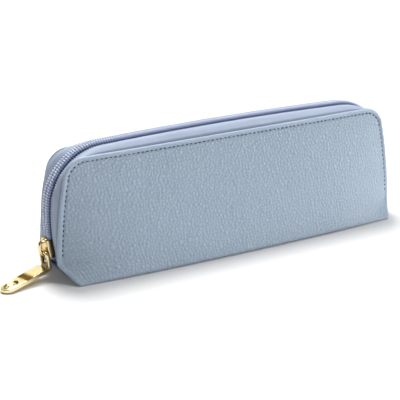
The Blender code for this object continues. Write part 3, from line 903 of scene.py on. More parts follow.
# --- panels -----------------------------------------------------------------------------------
@dataclass(frozen=True)
class Panel:
    """One leather panel with its foam: pebbled, with a turned and stitched edge."""

    side: Side
    pebble: float = 1.80 * MM
    grain_depth: float = 0.42 * MM
    thickness: float = 1.1 * MM
    edge_round: float = 0.7 * MM
    turned_width: float = 1.8 * MM
    turned_rise: float = 0.34 * MM
    seam_inset: float = 2.5 * MM
    groove_depth: float = 0.36 * MM
    groove_width: float = 0.65 * MM
    foot_round: float = 2.2 * MM
    stitch_pitch: float = 2.5 * MM
    stitch_length: float = 1.40 * MM
    stitch_radius: float = 0.34 * MM
    stitch_foot: float = 12.0 * MM
    coarse: int = 4
    side_rows: int = 26
    corner_rows: int = 11
    columns: int = 105
    crowding: float = 0.0045
    low_row: float = 0.3 * MM
    floor_gap: float = 0.15 * MM
    foot_fold: float = 0.92
    swell: float = 0.35 * MM
    swell_reach: float = 14.0 * MM
    soft: float = 0.06 * MM
    soft_runs: tuple[float, float] = (26.0 * MM, 17.0 * MM)
    wander_run: float = 7.0 * MM
    # Strength of the painted highlight on the turned edge.
    painted_light_tone: float = 0.55
    # Strength of the painted shade along the seam's groove.
    seam_shade_tone: float = 0.12
    fill: float = 0.35

    def heights(self) -> np.ndarray:
        """Rows up the panel: even steps up the side, then even steps round the corner."""
        tangent, radius, centre, first = SHAPE.corner_values()
        low = np.linspace(self.low_row, tangent[1], 1 + self.coarse * self.side_rows, endpoint=False)
        angle = np.linspace(first, QUARTER_TURN, self.coarse * self.corner_rows)
        return np.concatenate([low, centre[1] + radius * np.sin(angle)])

    def spreads(self) -> np.ndarray:
        """Columns from end to end, closer together in the last few millimetres."""
        even = np.linspace(-1.0, 1.0, 1 + self.coarse * self.columns)
        return even + self.crowding * np.sin(math.pi * even)

    def relief(self, x: np.ndarray, height: np.ndarray) -> tuple[np.ndarray, ...]:
        """Height of the finished leather over the plain surface.

        The rim rolls down over its last fraction of a millimetre, a turned edge stands proud of
        the panel, a groove holds the seam, and the pebbles fade out on the turned edge.

        Args:
            x: Length along the case.
            height: Height above the table.

        Returns:
            The lift, the grain, a mask of painted highlight along the turned edge, and a mask of painted
            shade along the seam's groove.
        """
        inward = SHAPE.edge_distance(x, height)
        seamed = smoothstep(height, 0.4 * self.stitch_foot, self.stitch_foot)
        roll = -self.thickness * 0.75 * (1.0 - np.clip(inward / self.edge_round, 0.0, 1.0)) ** 2
        turned = self.turned_rise * (1.0 - smoothstep(inward, self.turned_width, self.seam_inset))
        turned = turned * (0.15 + 0.85 * seamed)
        gap = (inward - self.seam_inset) / self.groove_width
        groove = -self.groove_depth * np.exp(-gap ** 2) * (0.05 + 0.95 * seamed)
        swell = self.swell * smoothstep(inward, self.seam_inset, self.swell_reach)
        soft = self.soft * value_noise(x / self.soft_runs[0], height / self.soft_runs[1], 11.0)
        grain = pebbles(x + 0.15 * height, height * 1.06, self.pebble)
        strength = self.grain_depth * (0.30 + 0.70 * smoothstep(inward, 0.5 * MM, 4.0 * MM))
        wander = 0.90 + 0.10 * value_noise(x / self.wander_run, height / self.wander_run, 21.0)
        lift = roll + turned + groove + swell + soft * smoothstep(inward, 0.0, 9.0 * MM)
        lift = lift + (grain - 0.6) * strength * wander
        turned_over = 1.0 - smoothstep(inward, 0.4 * self.turned_width, self.seam_inset)
        # Painted highlight: the turned edge is lightened towards the leather's lighter edge colour.
        painted_light = self.painted_light_tone * turned_over * seamed
        # Painted shade: the leather darkens along the seam's groove, where the stitches sit.
        return lift, grain, painted_light, self.seam_shade_tone * np.exp(-gap ** 2) * seamed

    def skin(self) -> bpy.types.Object:
        """The panel as a closed sheet: a fine outer face, a coarse inner face and a rim."""
        height = self.heights()[:, None]
        half = SHAPE.half_length(height)
        x = half * self.spreads()[None, :]
        height = np.broadcast_to(height, x.shape).copy()
        point = SHAPE.panel_point(self.side, x, height)
        normal = SHAPE.panel_normal(self.side, x, height)
        lift, grain, painted_light, seam_shade = self.relief(x, height)
        outer = point + normal * lift[..., None]
        under = np.clip(1.0 - (height - self.low_row) / self.foot_round, 0.0, 1.0)
        tuck = self.foot_round * (1.0 - np.sqrt(1.0 - self.foot_fold * under ** 2))
        outer[..., 1] -= self.side.value * tuck
        outer[..., 2] = np.maximum(outer[..., 2], self.floor_gap)
        step = self.coarse
        inner = point[::step, ::step] - normal[::step, ::step] * self.thickness
        inner[..., 1] -= self.side.value * tuck[::step, ::step]
        inner[..., 2] = np.maximum(inner[..., 2], self.low_row)
        rows, columns = outer.shape[:2]
        low_rows, low_columns = inner.shape[:2]
        start = rows * columns
        faces = grid_faces(rows, columns).tolist()
        faces += grid_faces(low_rows, low_columns, start)[:, ::-1].tolist()
        fine = np.arange(start).reshape(rows, columns)
        rough = start + np.arange(low_rows * low_columns).reshape(low_rows, low_columns)
        for outer_edge, inner_edge in ((fine[0], rough[0]), (fine[-1], rough[-1]),
                                       (fine[:, 0], rough[:, 0]), (fine[:, -1], rough[:, -1])):
            for k in range(len(inner_edge) - 1):
                run = outer_edge[k * step:(k + 1) * step + 1].tolist()
                faces.append(run + [int(inner_edge[k + 1]), int(inner_edge[k])])
        soup = Soup()
        soup.add(np.concatenate([outer.reshape(-1, 3), inner.reshape(-1, 3)]), faces)
        plain = np.zeros(inner.shape[0] * inner.shape[1])
        # The second mask paints a highlight on the turned edge, and the third paints shade in the seam's
        # groove.
        masks = (("grain", grain, 0.5), ("painted_light", painted_light, 0.0), ("seam_shade", seam_shade, 0.0))
        marks = {name: np.concatenate([values.ravel(), plain + inside]) for name, values, inside in masks}
        return soup.piece(f"{self.side.word}_panel_leather", marks)

    def seam_line(self) -> tuple[np.ndarray, np.ndarray]:
        """X and height of the seam from the right foot over the top to the left foot."""
        half = SHAPE.panel_outline(self.seam_inset)
        half = half[half[:, 1] > self.stitch_foot]
        line = np.vstack([half, half[::-1] * np.array([-1.0, 1.0])])
        keep = np.concatenate([[True], np.linalg.norm(np.diff(line, axis=0), axis=1) > 1e-6])
        line = line[keep]
        length = np.linalg.norm(np.diff(line, axis=0), axis=1).sum()
        count = int(length / self.stitch_pitch)
        spots = along(line, (np.arange(count) + 0.5) / count)
        return spots[:, 0], spots[:, 1]

    def stitches(self) -> bpy.types.Object:
        """Short thread capsules that dip into the leather at both ends."""
        x, height = self.seam_line()
        depth = self.groove_depth - 0.10 * MM
        normal = SHAPE.panel_normal(self.side, x, height)
        middle = SHAPE.panel_point(self.side, x, height) - normal * depth
        forward = unit(np.gradient(middle, axis=0))
        across = np.cross(normal, forward)
        return capsules(f"{self.side.word}_panel_stitches", middle, forward, normal, across,
                        self.stitch_length, self.stitch_radius)

    def build(self, finishes: Finishes) -> None:
        """Make the leather and its stitches and hang them on their half."""
        word = self.side.word
        skin = self.skin()
        hang(skin, finishes.pebbled, "pebbled_leather", self.side, f"{word}_panel", f"{word}_foam")
        hang(self.stitches(), finishes.seam_thread, "thread", self.side)


def capsules(name: str, middle: np.ndarray, forward: np.ndarray, normal: np.ndarray, across: np.ndarray,
             length: float, radius: float, dip: float = 0.9) -> bpy.types.Object:
    """Stitches as short rods that thin out and dip towards both ends.

    Ring k of a rod lies at t from -1 to 1 along it, sinks by dip * radius * t^2 and has the radius
    r * sqrt(1 - t^4).

    Args:
        name: The piece's name.
        middle: Middle point of each stitch.
        forward: Direction of each stitch.
        normal: Outward direction at each stitch.
        across: Direction square to both.
        length: Length of a stitch.
        radius: Its half thickness.
        dip: Sinking of its ends in radii.

    Returns:
        One piece that holds every stitch.
    """
    t = STITCH_STATIONS
    angle = np.linspace(0.0, FULL_TURN, STITCH_SIDES, endpoint=False)
    size = radius * np.sqrt(1.0 - t ** 4)
    soup = Soup()
    lengthwise = (0.5 * length * t)[None, :, None, None] * forward[:, None, None, :]
    sunk = (-dip * radius * t ** 2)[None, :, None, None] * normal[:, None, None, :]
    ring = (np.cos(angle)[None, None, :, None] * across[:, None, None, :]
            + np.sin(angle)[None, None, :, None] * normal[:, None, None, :])
    points = middle[:, None, None, :] + lengthwise + sunk + size[None, :, None, None] * ring
    for rod in points:
        soup.sweep(rod)
    return soup.piece(name)


# --- zip bands, tape, coil --------------------------------------------------------------------
def strip(side: Side, share: np.ndarray, across: np.ndarray, lift: np.ndarray) -> Soup:
    """A closed strip along the zip, with its flat coordinates.

    Args:
        side: Its half.
        share: Shares of the zip's length, as a column.
        across: Distances from the middle of the zip round the strip, a row per share.
        lift: Heights over the mouth's surface round the strip.

    Returns:
        The strip's mesh.
    """
    soup = Soup()
    rings = SHAPE.raised(share, side.value * across, np.broadcast_to(lift, across.shape))
    soup.sweep(rings, uv=np.stack(np.broadcast_arrays(share * SHAPE.zip_length(), across), -1))
    return soup


def flat_section(edges: tuple[float, float], count: int, top: float,
                 thickness: float) -> tuple[np.ndarray, np.ndarray]:
    """Offset and lift round a flat strip: its face between two edges, then its underside back."""
    face = np.linspace(*edges, count)
    lift = top - np.repeat([0.0, thickness], count)
    return np.concatenate([face, face[::-1]]), lift


@dataclass(frozen=True)
class Band:
    """The smooth leather band between a panel and the zip."""

    side: Side
    step: float = 0.55 * MM
    thickness: float = 0.9 * MM
    inner_y: float = 4.80 * MM
    outer_y: float = 10.25 * MM
    puff: float = 0.30 * MM
    edge_drop: float = 0.30 * MM
    pucker: float = 0.05 * MM
    wave: float = 0.055 * MM
    crease: float = 0.035 * MM
    tuck: float = 0.70 * MM
    under_tuck: float = 0.40 * MM
    tuck_start: float = 0.84
    # Width and strength of the painted shade along the band's outer edge.
    painted_shade_width: float = 1.3 * MM
    painted_light_tone: float = 0.75

    def section(self) -> tuple[np.ndarray, np.ndarray]:
        """Offset and lift round the band: turned inner edge, arched face, tucked edge, underside."""
        turn = np.linspace(-QUARTER_TURN, QUARTER_TURN, 9)
        radius = 0.5 * self.thickness
        start = self.inner_y + radius
        fold_y = start - radius * np.cos(turn)
        fold_lift = -radius + radius * np.sin(turn) - self.edge_drop
        face = np.linspace(0.06, 1.0, 18)
        face_y = start + face * (self.outer_y - start)
        face_lift = self.puff * np.sin(math.pi * face ** 0.8)
        face_lift = face_lift - self.tuck * smoothstep(face, self.tuck_start, 1.0)
        face_lift = face_lift - self.edge_drop * (1.0 - smoothstep(face, 0.0, 0.35))
        under = np.linspace(1.0, 0.1, 6)
        under_y = start + under * (self.outer_y - start)
        tucked = self.under_tuck * smoothstep(under, self.tuck_start, 1.0)
        under_lift = -self.thickness - self.edge_drop - tucked
        return (np.concatenate([fold_y, face_y, under_y]),
                np.concatenate([fold_lift, face_lift, under_lift]))

    def build(self, finishes: Finishes) -> None:
        """Carry the section along the zip, with light puckers across and fine lines along it."""
        offset, lift = self.section()
        share = np.linspace(0.0, 1.0, int(SHAPE.zip_length() / self.step))[:, None]
        length = share * SHAPE.zip_length()
        across = np.broadcast_to(offset, (len(share), len(offset)))
        face = smoothstep(lift, -self.thickness, -0.4 * self.thickness)
        seamward = smoothstep(across, self.inner_y + 1.5 * MM, self.outer_y)
        puckers = value_noise(length / (1.9 * MM), across / (6.0 * MM), 31.0)
        waves = value_noise(length / (13.0 * MM), across / (1.3 * MM), 33.0)
        creases = value_noise(length / (42.0 * MM), across / (0.55 * MM), 35.0)
        relief = self.pucker * (0.4 + seamward) * puckers + self.wave * waves + self.crease * creases
        soup = strip(self.side, share, across, lift + face * relief)
        grain = 0.75 + 0.25 * waves
        # Painted shade: the band darkens towards its outer edge, where it tucks in beside the panel.
        painted_light = self.painted_light_tone * smoothstep(across, self.outer_y - self.painted_shade_width, self.outer_y)
        item = soup.piece(f"{self.side.word}_zip_band", {"grain": grain, "painted_light": painted_light})
        hang(item, finishes.smooth, "smooth_leather", self.side, f"{self.side.word}_band")


@dataclass(frozen=True)
class ZipTape:
    """The woven tape that carries one row of the coil."""

    side: Side
    step: float = 1.0 * MM
    inner_y: float = 0.7 * MM
    outer_y: float = 8.5 * MM
    depth: float = 1.35 * MM
    thickness: float = 0.5 * MM

    def build(self, finishes: Finishes) -> None:
        """A flat closed strip under the band; its middle part is shaded where the coil covers it."""
        offset, lift = flat_section((self.inner_y, self.outer_y), 9, -self.depth, self.thickness)
        share = np.linspace(0.0, 1.0, int(SHAPE.zip_length() / self.step))[:, None]
        across = np.broadcast_to(offset, (len(share), len(offset)))
        foot = np.minimum(share, 1.0 - share) * SHAPE.zip_length()
        # Painted shade: away from the zip's feet the tape takes its deep navy shade colour, for the dark
        # gap beside the coil.
        shade = np.broadcast_to(0.9 * smoothstep(foot, 2.0 * MM, 9.0 * MM), across.shape)
        item = strip(self.side, share, across, lift).piece(f"{self.side.word}_zip_tape", {"painted_light": shade})
        hang(item, finishes.tape, "zip_tape", self.side, f"zip_tape_{self.side.word}")


@dataclass(frozen=True)
class ZipCoil:
    """One nylon coil and the chain stitches that hold it on its tape."""

    side: Side
    pitch: float = 1.36 * MM
    centre_y: float = 1.30 * MM
    half_width: float = 1.45 * MM
    half_height: float = 0.80 * MM
    wire: float = 0.38 * MM
    steps: int = 10
    sides: int = 5
    sunk: float = 0.05 * MM
    core_sides: int = 10
    foot: float = 3.0 * MM
    thread_rows: tuple[tuple[float, float], ...] = ((1.95 * MM, 1.02 * MM), (1.00 * MM, 0.97 * MM),
                                                    (3.45 * MM, -0.98 * MM))
    thread_length: float = 0.88 * MM
    thread_radius: float = 0.28 * MM
    thread_slant: float = 0.28

    def turns(self) -> int:
        """Number of turns between the zip's two stops."""
        return int((SHAPE.zip_length() - 2.0 * self.foot) / self.pitch)

    def shares(self, count: int) -> np.ndarray:
        """Shares of the zip's length between its two stops."""
        spare = self.foot / SHAPE.zip_length()
        return np.linspace(spare, 1.0 - spare, count)

    def coil(self) -> bpy.types.Object:
        """A flattened helix of one round per pitch round a core, the front one half a pitch late."""
        share = self.shares(self.turns() * self.steps + 1)
        angle = np.linspace(0.0, FULL_TURN * self.turns(), len(share))
        phase = 0.0 if self.side is Side.BACK else math.pi
        offset = self.centre_y + self.half_width * np.cos(angle + phase)
        lift = self.half_height * np.sin(angle + phase) - self.sunk
        path = SHAPE.raised(share, self.side.value * offset, lift)
        _, _, forward = SHAPE.roof_frame(share, np.full(share.shape, self.side.value * self.centre_y))
        soup = Soup()
        soup.sweep(swept(path, forward, round_section(self.wire, self.wire, self.sides)))
        winding = soup.count
        core = self.shares(self.turns() * 2)[:, None]
        section = round_section(self.half_width - self.wire, self.half_height - 0.5 * self.wire,
                                self.core_sides)
        across = self.side.value * (self.centre_y + section[None, :, 0])
        level = np.broadcast_to(section[None, :, 1] - self.sunk, (len(core), self.core_sides))
        soup.sweep(SHAPE.raised(core, across, level))
        # Painted shade: the core takes the deep colour, for the dark gaps between the loops.
        inside = 1.0 * (np.arange(soup.count) >= winding)
        return soup.piece(f"{self.side.word}_zip_coil", {"painted_light": inside})

    def stitches(self) -> bpy.types.Object:
        """Two rows of thread loops on top of the coil and one beside it on the tape, one per turn."""
        spots = self.shares(2 * self.turns() + 1)[1::2]
        parts = []
        for offset, lift in self.thread_rows:
            side = np.full(spots.shape, self.side.value * offset)
            point, normal, forward = SHAPE.roof_frame(spots, side)
            parts.append((point + normal * lift, forward, normal))
        middle, forward, normal = (np.concatenate(group) for group in zip(*parts))
        slanted = unit(forward + self.thread_slant * self.side.value * np.cross(normal, forward))
        return capsules(f"{self.side.word}_coil_stitches", middle, slanted, normal,
                        np.cross(normal, slanted), self.thread_length, self.thread_radius, dip=0.8)

    def build(self, finishes: Finishes) -> None:
        """Make coil and stitches and hang them on their half."""
        hang(self.coil(), finishes.coil, "zip_coil", self.side, f"zip_coil_{self.side.word}")
        hang(self.stitches(), finishes.chain_thread, "zip_tape", self.side)


# --- lining, base and ends --------------------------------------------------------------------
@dataclass(frozen=True)
class Lining:
    """The cloth inside one half, from the base up to the zip."""

    side: Side
    depth: float = 2.75 * MM
    thickness: float = 0.3 * MM
    foot: float = 4.2 * MM
    inset: float = 3.6 * MM
    rows: int = 56
    columns: int = 150
    fold: float = 0.22 * MM
    foot_sink: float = 0.6 * MM
    facing_edges: tuple[float, float] = (5.6 * MM, 8.8 * MM)
    facing_depth: float = 2.2 * MM
    facing_end: float = 0.012

    def build(self, finishes: Finishes) -> None:
        """A closed sheet inside the panel, slightly rumpled, that ends under the band."""
        word = self.side.word
        rise = np.linspace(self.foot, SHAPE.top_z - self.inset, self.rows)[:, None]
        half = SHAPE.half_length(rise + 0.35 * self.inset) - self.inset
        x = half * np.linspace(-1.0, 1.0, self.columns)[None, :]
        height = np.broadcast_to(rise, x.shape).copy()
        normal = SHAPE.panel_normal(self.side, x, height)
        point = SHAPE.panel_point(self.side, x, height)
        folds = self.fold * value_noise(x / (9.0 * MM), height / (21.0 * MM), 41.0)
        layers = [point - normal * (self.depth + level + folds)[..., None]
                  for level in (0.0, self.thickness)]
        for layer in layers:
            layer[..., 2] = np.maximum(layer[..., 2], self.foot - self.foot_sink)
        soup = Soup()
        ring = np.concatenate([layers[0], layers[1][:, ::-1]], axis=1)
        flat = np.stack([x, height], axis=-1)
        soup.sweep(ring, uv=np.concatenate([flat, flat[:, ::-1]], axis=1))
        item = soup.piece(f"{word}_lining_cloth", {"painted_light": np.zeros(ring.shape[:2])})
        hang(item, finishes.lining, "lining_cloth", self.side, f"lining_{word}")
        self.band_lining(finishes)

    def band_lining(self, finishes: Finishes) -> None:
        """A narrow strip of the same cloth under the band."""
        offset, lift = flat_section(self.facing_edges, 6, -self.facing_depth, self.thickness)
        share = np.linspace(self.facing_end, 1.0 - self.facing_end, 240)[:, None]
        across = np.broadcast_to(offset, (len(share), len(offset)))
        item = strip(self.side, share, across, lift).piece(f"{self.side.word}_band_facing",
                                                           {"painted_light": np.zeros(across.shape)})
        hang(item, finishes.lining, "lining_cloth", self.side, f"band_lining_{self.side.word}")


@dataclass(frozen=True)
class Base:
    """Leather base, stiff board and the cloth over it."""

    half_length: float = SHAPE.base_half_length - 1.4 * MM
    half_width: float = SHAPE.base_half_width - 2.3 * MM
    leather: float = 1.2 * MM
    lining_low: float = 3.2 * MM
    lining_thickness: float = 0.35 * MM
    lining_inset: float = 3.4 * MM
    fold: float = 0.08 * MM
    edge: float = 0.5 * MM
    pebble: float = 1.45 * MM

    def outline(self, inset: float, count: int = 120) -> np.ndarray:
        """Plan outline with straight ends and bowed long edges."""
        x = np.linspace(-1.0, 1.0, count)
        y = self.half_width - inset + SHAPE.base_bow * (1.0 - x ** 2)
        front = np.stack([x * (self.half_length - inset), -y], axis=1)
        end = np.linspace(-0.9, 0.9, 24)[:, None] * np.array([[0.0, self.half_width - inset]])
        right = end + np.array([[self.half_length - inset, 0.0]])
        return np.vstack([front, right, front[::-1] * [1.0, -1.0], right * [-1.0, -1.0]])

    def build(self, finishes: Finishes) -> None:
        """Leather plate toned by its grain, cloth plate above, and the board's finish."""
        rings = slab_rings(self.outline(0.0), 0.0, self.leather, self.edge)
        soup = Soup()
        soup.sweep(rings)
        grain = pebbles(rings[..., 0], rings[..., 1], self.pebble)
        item = soup.piece("base_leather", {"grain": grain, "painted_light": np.zeros(grain.shape)})
        fasten(item, finishes.pebbled, "back_half", "base_panel")
        self.cloth(finishes)
        board = frame["nodes"]["base_board"]
        board.data.materials.clear()
        board.data.materials.append(finishes.board)

    def cloth(self, finishes: Finishes, rows: int = 120, columns: int = 30) -> None:
        """The lining over the board, slightly rumpled on top."""
        length = self.half_length - self.lining_inset
        x = np.linspace(-1.0, 1.0, rows)[:, None] * length
        bow = SHAPE.base_bow * (1.0 - (x / self.half_length) ** 2)
        width = self.half_width - self.lining_inset + bow
        y = width * np.linspace(-1.0, 1.0, columns)[None, :]
        x = np.broadcast_to(x, y.shape)
        folds = self.fold * (1.0 + value_noise(x / (14.0 * MM), y / (9.0 * MM), 51.0))
        low = np.stack([x, y, np.full(y.shape, self.lining_low)], axis=-1)
        high = np.stack([x, y, self.lining_low + self.lining_thickness + folds], axis=-1)
        flat = np.stack([x, y], axis=-1)
        soup = Soup()
        around = np.concatenate([flat, flat[:, ::-1]], axis=1)
        soup.sweep(np.concatenate([low, high[:, ::-1]], axis=1), uv=around)
        cover = soup.piece("base_lining_cloth", {"painted_light": np.zeros((rows, 2 * columns))})
        fasten(cover, finishes.lining, "back_half", "lining_base")


@dataclass(frozen=True)
class EndGusset:
    """The slanting leather piece between the short edge of the base and the foot of the zip."""

    word: str
    way: int
    thickness: float = 1.0 * MM
    top_half: float = 9.3 * MM
    foot_inset: tuple[float, float, float] = (0.5 * MM, 1.6 * MM, 0.35 * MM)
    top_inset: tuple[float, float] = (0.3 * MM, 0.9 * MM)
    hollow: float = 0.5 * MM
    tack_count: int = 9
    tack_place: float = 1.9 * MM
    tack_half: float = 0.55 * MM
    tack_depth: float = 0.95 * MM
    tack_length: float = 5.2 * MM
    tack_radius: float = 0.16 * MM

    def build(self, finishes: Finishes) -> None:
        """A surface between the base edge and the foot of the bands, slightly hollow."""
        across = np.linspace(-1.0, 1.0, 48)[None, :]
        rise = np.linspace(0.0, 1.0, 26)[:, None]
        top_y = self.top_half * across
        top = SHAPE.roof(np.zeros(across.shape), top_y)
        long, wide, low = self.foot_inset
        x = (SHAPE.base_half_length - long) * (1 - rise) + (top[..., 0] - self.top_inset[0]) * rise
        z = low * (1 - rise) + (top[..., 2] - self.top_inset[1]) * rise
        y = across * (SHAPE.base_half_width - wide) * (1 - rise) + top_y * rise
        x = x - self.hollow * np.sin(math.pi * rise) * (1.0 - across ** 2)
        relief = 0.05 * MM * value_noise(y / (3.0 * MM), z / (2.2 * MM), 61.0)
        outer = np.stack([(x + relief) * self.way, y, z], axis=-1)
        inner = outer - np.array([self.way * 0.75, 0.0, -0.35]) * self.thickness
        soup = Soup()
        soup.sweep(np.concatenate([outer, inner[:, ::-1]], axis=1))
        grain = 0.7 + 0.3 * value_noise(y / (1.2 * MM), z / (1.2 * MM), 63.0)
        marks = np.concatenate([grain, grain[:, ::-1]], axis=1)
        item = soup.piece(f"{self.word}_end_gusset", {"grain": marks, "painted_light": np.zeros(marks.shape)})
        fasten(item, finishes.smooth, "back_half", f"end_gusset_{self.word}")
        self.bar_tack(finishes)

    def bar_tack(self, finishes: Finishes) -> None:
        """Close thread bars across the tapes at the foot of the zip."""
        spread = np.linspace(-self.tack_half, self.tack_half, self.tack_count)
        share = (self.tack_place + spread) / SHAPE.zip_length()
        share = share if self.way > 0 else 1.0 - share
        point, normal, forward = SHAPE.roof_frame(share, np.zeros(self.tack_count))
        item = capsules(f"{self.word}_bar_tack", point - normal * self.tack_depth,
                        np.cross(normal, forward), normal, forward, self.tack_length, self.tack_radius,
                        dip=1.2)
        fasten(item, finishes.seam_thread, "back_half", f"bar_tack_{self.word}")


# --- slider, link and tab ---------------------------------------------------------------------
def joint_place(name: str) -> tuple[Vector, Vector]:
    """Position and axis of a joint of the frame."""
    joint = next(j for j in frame["joints"] if j["name"] == name)
    return Vector(joint["pos_m"]), Vector(joint["axis"]).normalized()


def placed(points: np.ndarray, matrix: Matrix) -> np.ndarray:
    """Points carried by a matrix."""
    turn = np.array(matrix.to_3x3())
    return points @ turn.T + np.array(matrix.translation)


def inner_shade(rings: np.ndarray, path: np.ndarray, seat: np.ndarray, radius: float,
                tone: float) -> np.ndarray:
    """A mask of painted shade on a bent rod's side that faces a point.

    Args:
        rings: The rod's rings.
        path: Its middle line.
        seat: The point.
        radius: Its half thickness.
        tone: The mask's highest value.

    Returns:
        A value per point of the rings.
    """
    inward = np.sum((rings - path[:, None]) * unit(seat - path)[:, None], axis=-1) / radius
    return tone * smoothstep(inward, 0.1, 0.8)


@dataclass(frozen=True)
class Slider:
    """Slider body and its bridge, on the curve of the end."""

    length: float = 10.5 * MM
    mouth_half: float = 4.4 * MM
    exit_half: float = 3.7 * MM
    top: float = 2.5 * MM
    plate: float = 1.15 * MM
    bottom: float = -3.6 * MM
    flange: float = 0.95 * MM
    slot_low: float = -2.5 * MM
    slot_high: float = -0.55 * MM
    bridge_half: float = 1.45 * MM
    bridge_thick: float = 0.62 * MM
    bridge_rise: float = 3.9 * MM
    bridge_reach: float = 4.2 * MM
    bridge_sunk: float = 0.25 * MM
    base_plate: float = 1.0 * MM
    edge: float = 0.38 * MM
    wedge: tuple[float, float] = (1.5 * MM, 0.45 * MM)
    wedge_inset: float = 1.6 * MM
    # Strength and heights of the painted shade and dark reflection on the slider's lower part.
    painted_shade_tone: float = 0.90
    painted_shade_levels: tuple[float, float] = (-2.1 * MM, -1.2 * MM)

    def place(self) -> Matrix:
        """From (along the zip, across, above it) to the frame, by the curve's centre."""
        centre, _ = joint_place("slider_travel")
        low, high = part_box("slider_body")
        middle = 0.5 * (low + high) - centre
        lift = math.atan2(middle.z, -middle.x)
        turn = Euler((0.0, lift, 0.0)).to_matrix().to_4x4()
        axes = Matrix(((0, 0, -1, -SHAPE.zip_radius), (0, 1, 0, 0), (1, 0, 0, 0), (0, 0, 0, 1)))
        return Matrix.Translation(centre) @ turn @ axes

    def outline(self, inset: float = 0.0, count: int = 72) -> np.ndarray:
        """Plan of a plate: a superellipse that narrows from the mouth, at -1, to the exit, at 1."""
        angle = np.linspace(0.0, FULL_TURN, count, endpoint=False)
        c, s = np.cos(angle), np.sin(angle)
        run = np.sign(c) * np.abs(c) ** 0.5
        side = np.sign(s) * np.abs(s) ** 0.5
        return np.stack([(0.5 * self.length - inset) * run, (self.half_at(run) - inset) * side], axis=1)

    def half_at(self, run: np.ndarray) -> np.ndarray:
        """Half width of the plates from the mouth, at -1, to the exit, at 1."""
        return self.mouth_half + (self.exit_half - self.mouth_half) * smoothstep(run, -0.6, 1.0)

    def flange_strip(self, way: int, low: float, high: float) -> np.ndarray:
        """Rings of one side wall that follows the plate's side."""
        run = np.linspace(-0.86, 0.86, 22)
        half = self.half_at(run) - 0.25 * MM * np.abs(run) ** 6 - 0.5 * self.flange
        middle = np.full(run.shape, 0.5 * (low + high))
        path = np.stack([0.5 * self.length * run, way * half, middle], axis=1)
        section = round_section(0.5 * (high - low), 0.5 * self.flange, 16, 5.0)
        return swept(path, np.array([0.0, 0.0, 1.0]), section)

    def body(self) -> bpy.types.Object:
        """Two plates, four side walls and the wedge that parts the coils."""
        place = self.place()
        plan = self.outline()
        parts = [slab_rings(plan, self.top - self.plate, self.top, self.edge),
                 slab_rings(plan, self.bottom, self.bottom + self.base_plate, self.edge)]
        for way in (-1, 1):
            parts.append(self.flange_strip(way, self.slot_high, self.top - 0.3 * MM))
            parts.append(self.flange_strip(way, self.bottom + 0.3 * MM, self.slot_low))
        wedge = round_section(*self.wedge, 20, 1.6) - [0.5 * self.length - self.wedge_inset, 0.0]
        parts.append(slab_rings(wedge, self.bottom + 0.4 * MM, self.top - 0.4 * MM, 0.1 * MM))
        soup = Soup()
        for rings in parts:
            soup.sweep(placed(rings, place))
        height = np.concatenate([rings[..., 2].ravel() for rings in parts])
        # Painted shade and painted dark reflection: the lower plate and walls take the gold's dark brown.
        deep = self.painted_shade_tone * smoothstep(-height, *self.painted_shade_levels)
        return soup.piece("slider_shell", {"painted_light": deep})

    def bridge(self) -> bpy.types.Object:
        """A flat-sided strap in a low arch over the slider."""
        angle = np.linspace(0.0, math.pi, 41)
        rise = (self.bridge_rise - self.bridge_thick) * np.sin(angle) ** 0.62
        path = np.stack([(self.bridge_reach - self.bridge_thick) * np.cos(angle), np.zeros(angle.shape),
                         self.top - self.bridge_sunk + rise], axis=1)
        section = round_section(self.bridge_half, self.bridge_thick, 20, 3.2)
        rings = swept(path, [0.0, 1.0, 0.0], section)
        soup = Soup()
        soup.sweep(placed(rings, self.place()))
        seat = np.array([0.0, 0.0, self.top])
        # Painted shade on the strap's inner side, under the arch.
        return soup.piece("slider_bridge_strap",
                          {"painted_light": inner_shade(rings, path, seat, self.bridge_thick, 0.8)})

    def build(self, finishes: Finishes) -> None:
        """Make body and bridge and let them ride on the slider."""
        fasten(self.body(), finishes.gold, "slider", "slider_body")
        fasten(self.bridge(), finishes.gold, "slider", "slider_bridge")


@dataclass(frozen=True)
class PullLink:
    """Closed link of round wire that hangs from the bridge."""

    wire: float = 1.02 * MM
    width: float = 6.6 * MM
    corner: float = 1.5 * MM

    def build(self, finishes: Finishes) -> None:
        """A rounded rectangle of wire between the link's and the tab's pivots."""
        seat, axis = joint_place("link_swing")
        bar, _ = joint_place("tab_swing")
        up = (seat - bar).normalized()
        reach = (seat - bar).length
        half = 0.5 * self.width - self.corner
        turns = ((half, -self.corner, 0.0), (-half, -self.corner, 0.5),
                 (-half, self.corner - reach, 1.0), (half, self.corner - reach, 1.5))
        flat = np.vstack([arc((y, z), self.corner, quarter * math.pi, (quarter + 0.5) * math.pi, 14)
                          for y, z, quarter in turns])
        path = flat[:, :1] * np.array(axis) + flat[:, 1:] * np.array(up) + np.array(seat)
        rings = swept(path, axis.cross(up), round_section(self.wire, self.wire, 20, 2.3), closed=True)
        soup = Soup()
        soup.sweep(rings, closed=True)
        middle = np.array(0.5 * (seat + bar))
        # Painted shade on the wire's inner side, facing the middle of the link.
        item = soup.piece("link_wire", {"painted_light": inner_shade(rings, path, middle, self.wire, 0.75)})
        fasten(item, finishes.gold, "link", "pull_link")


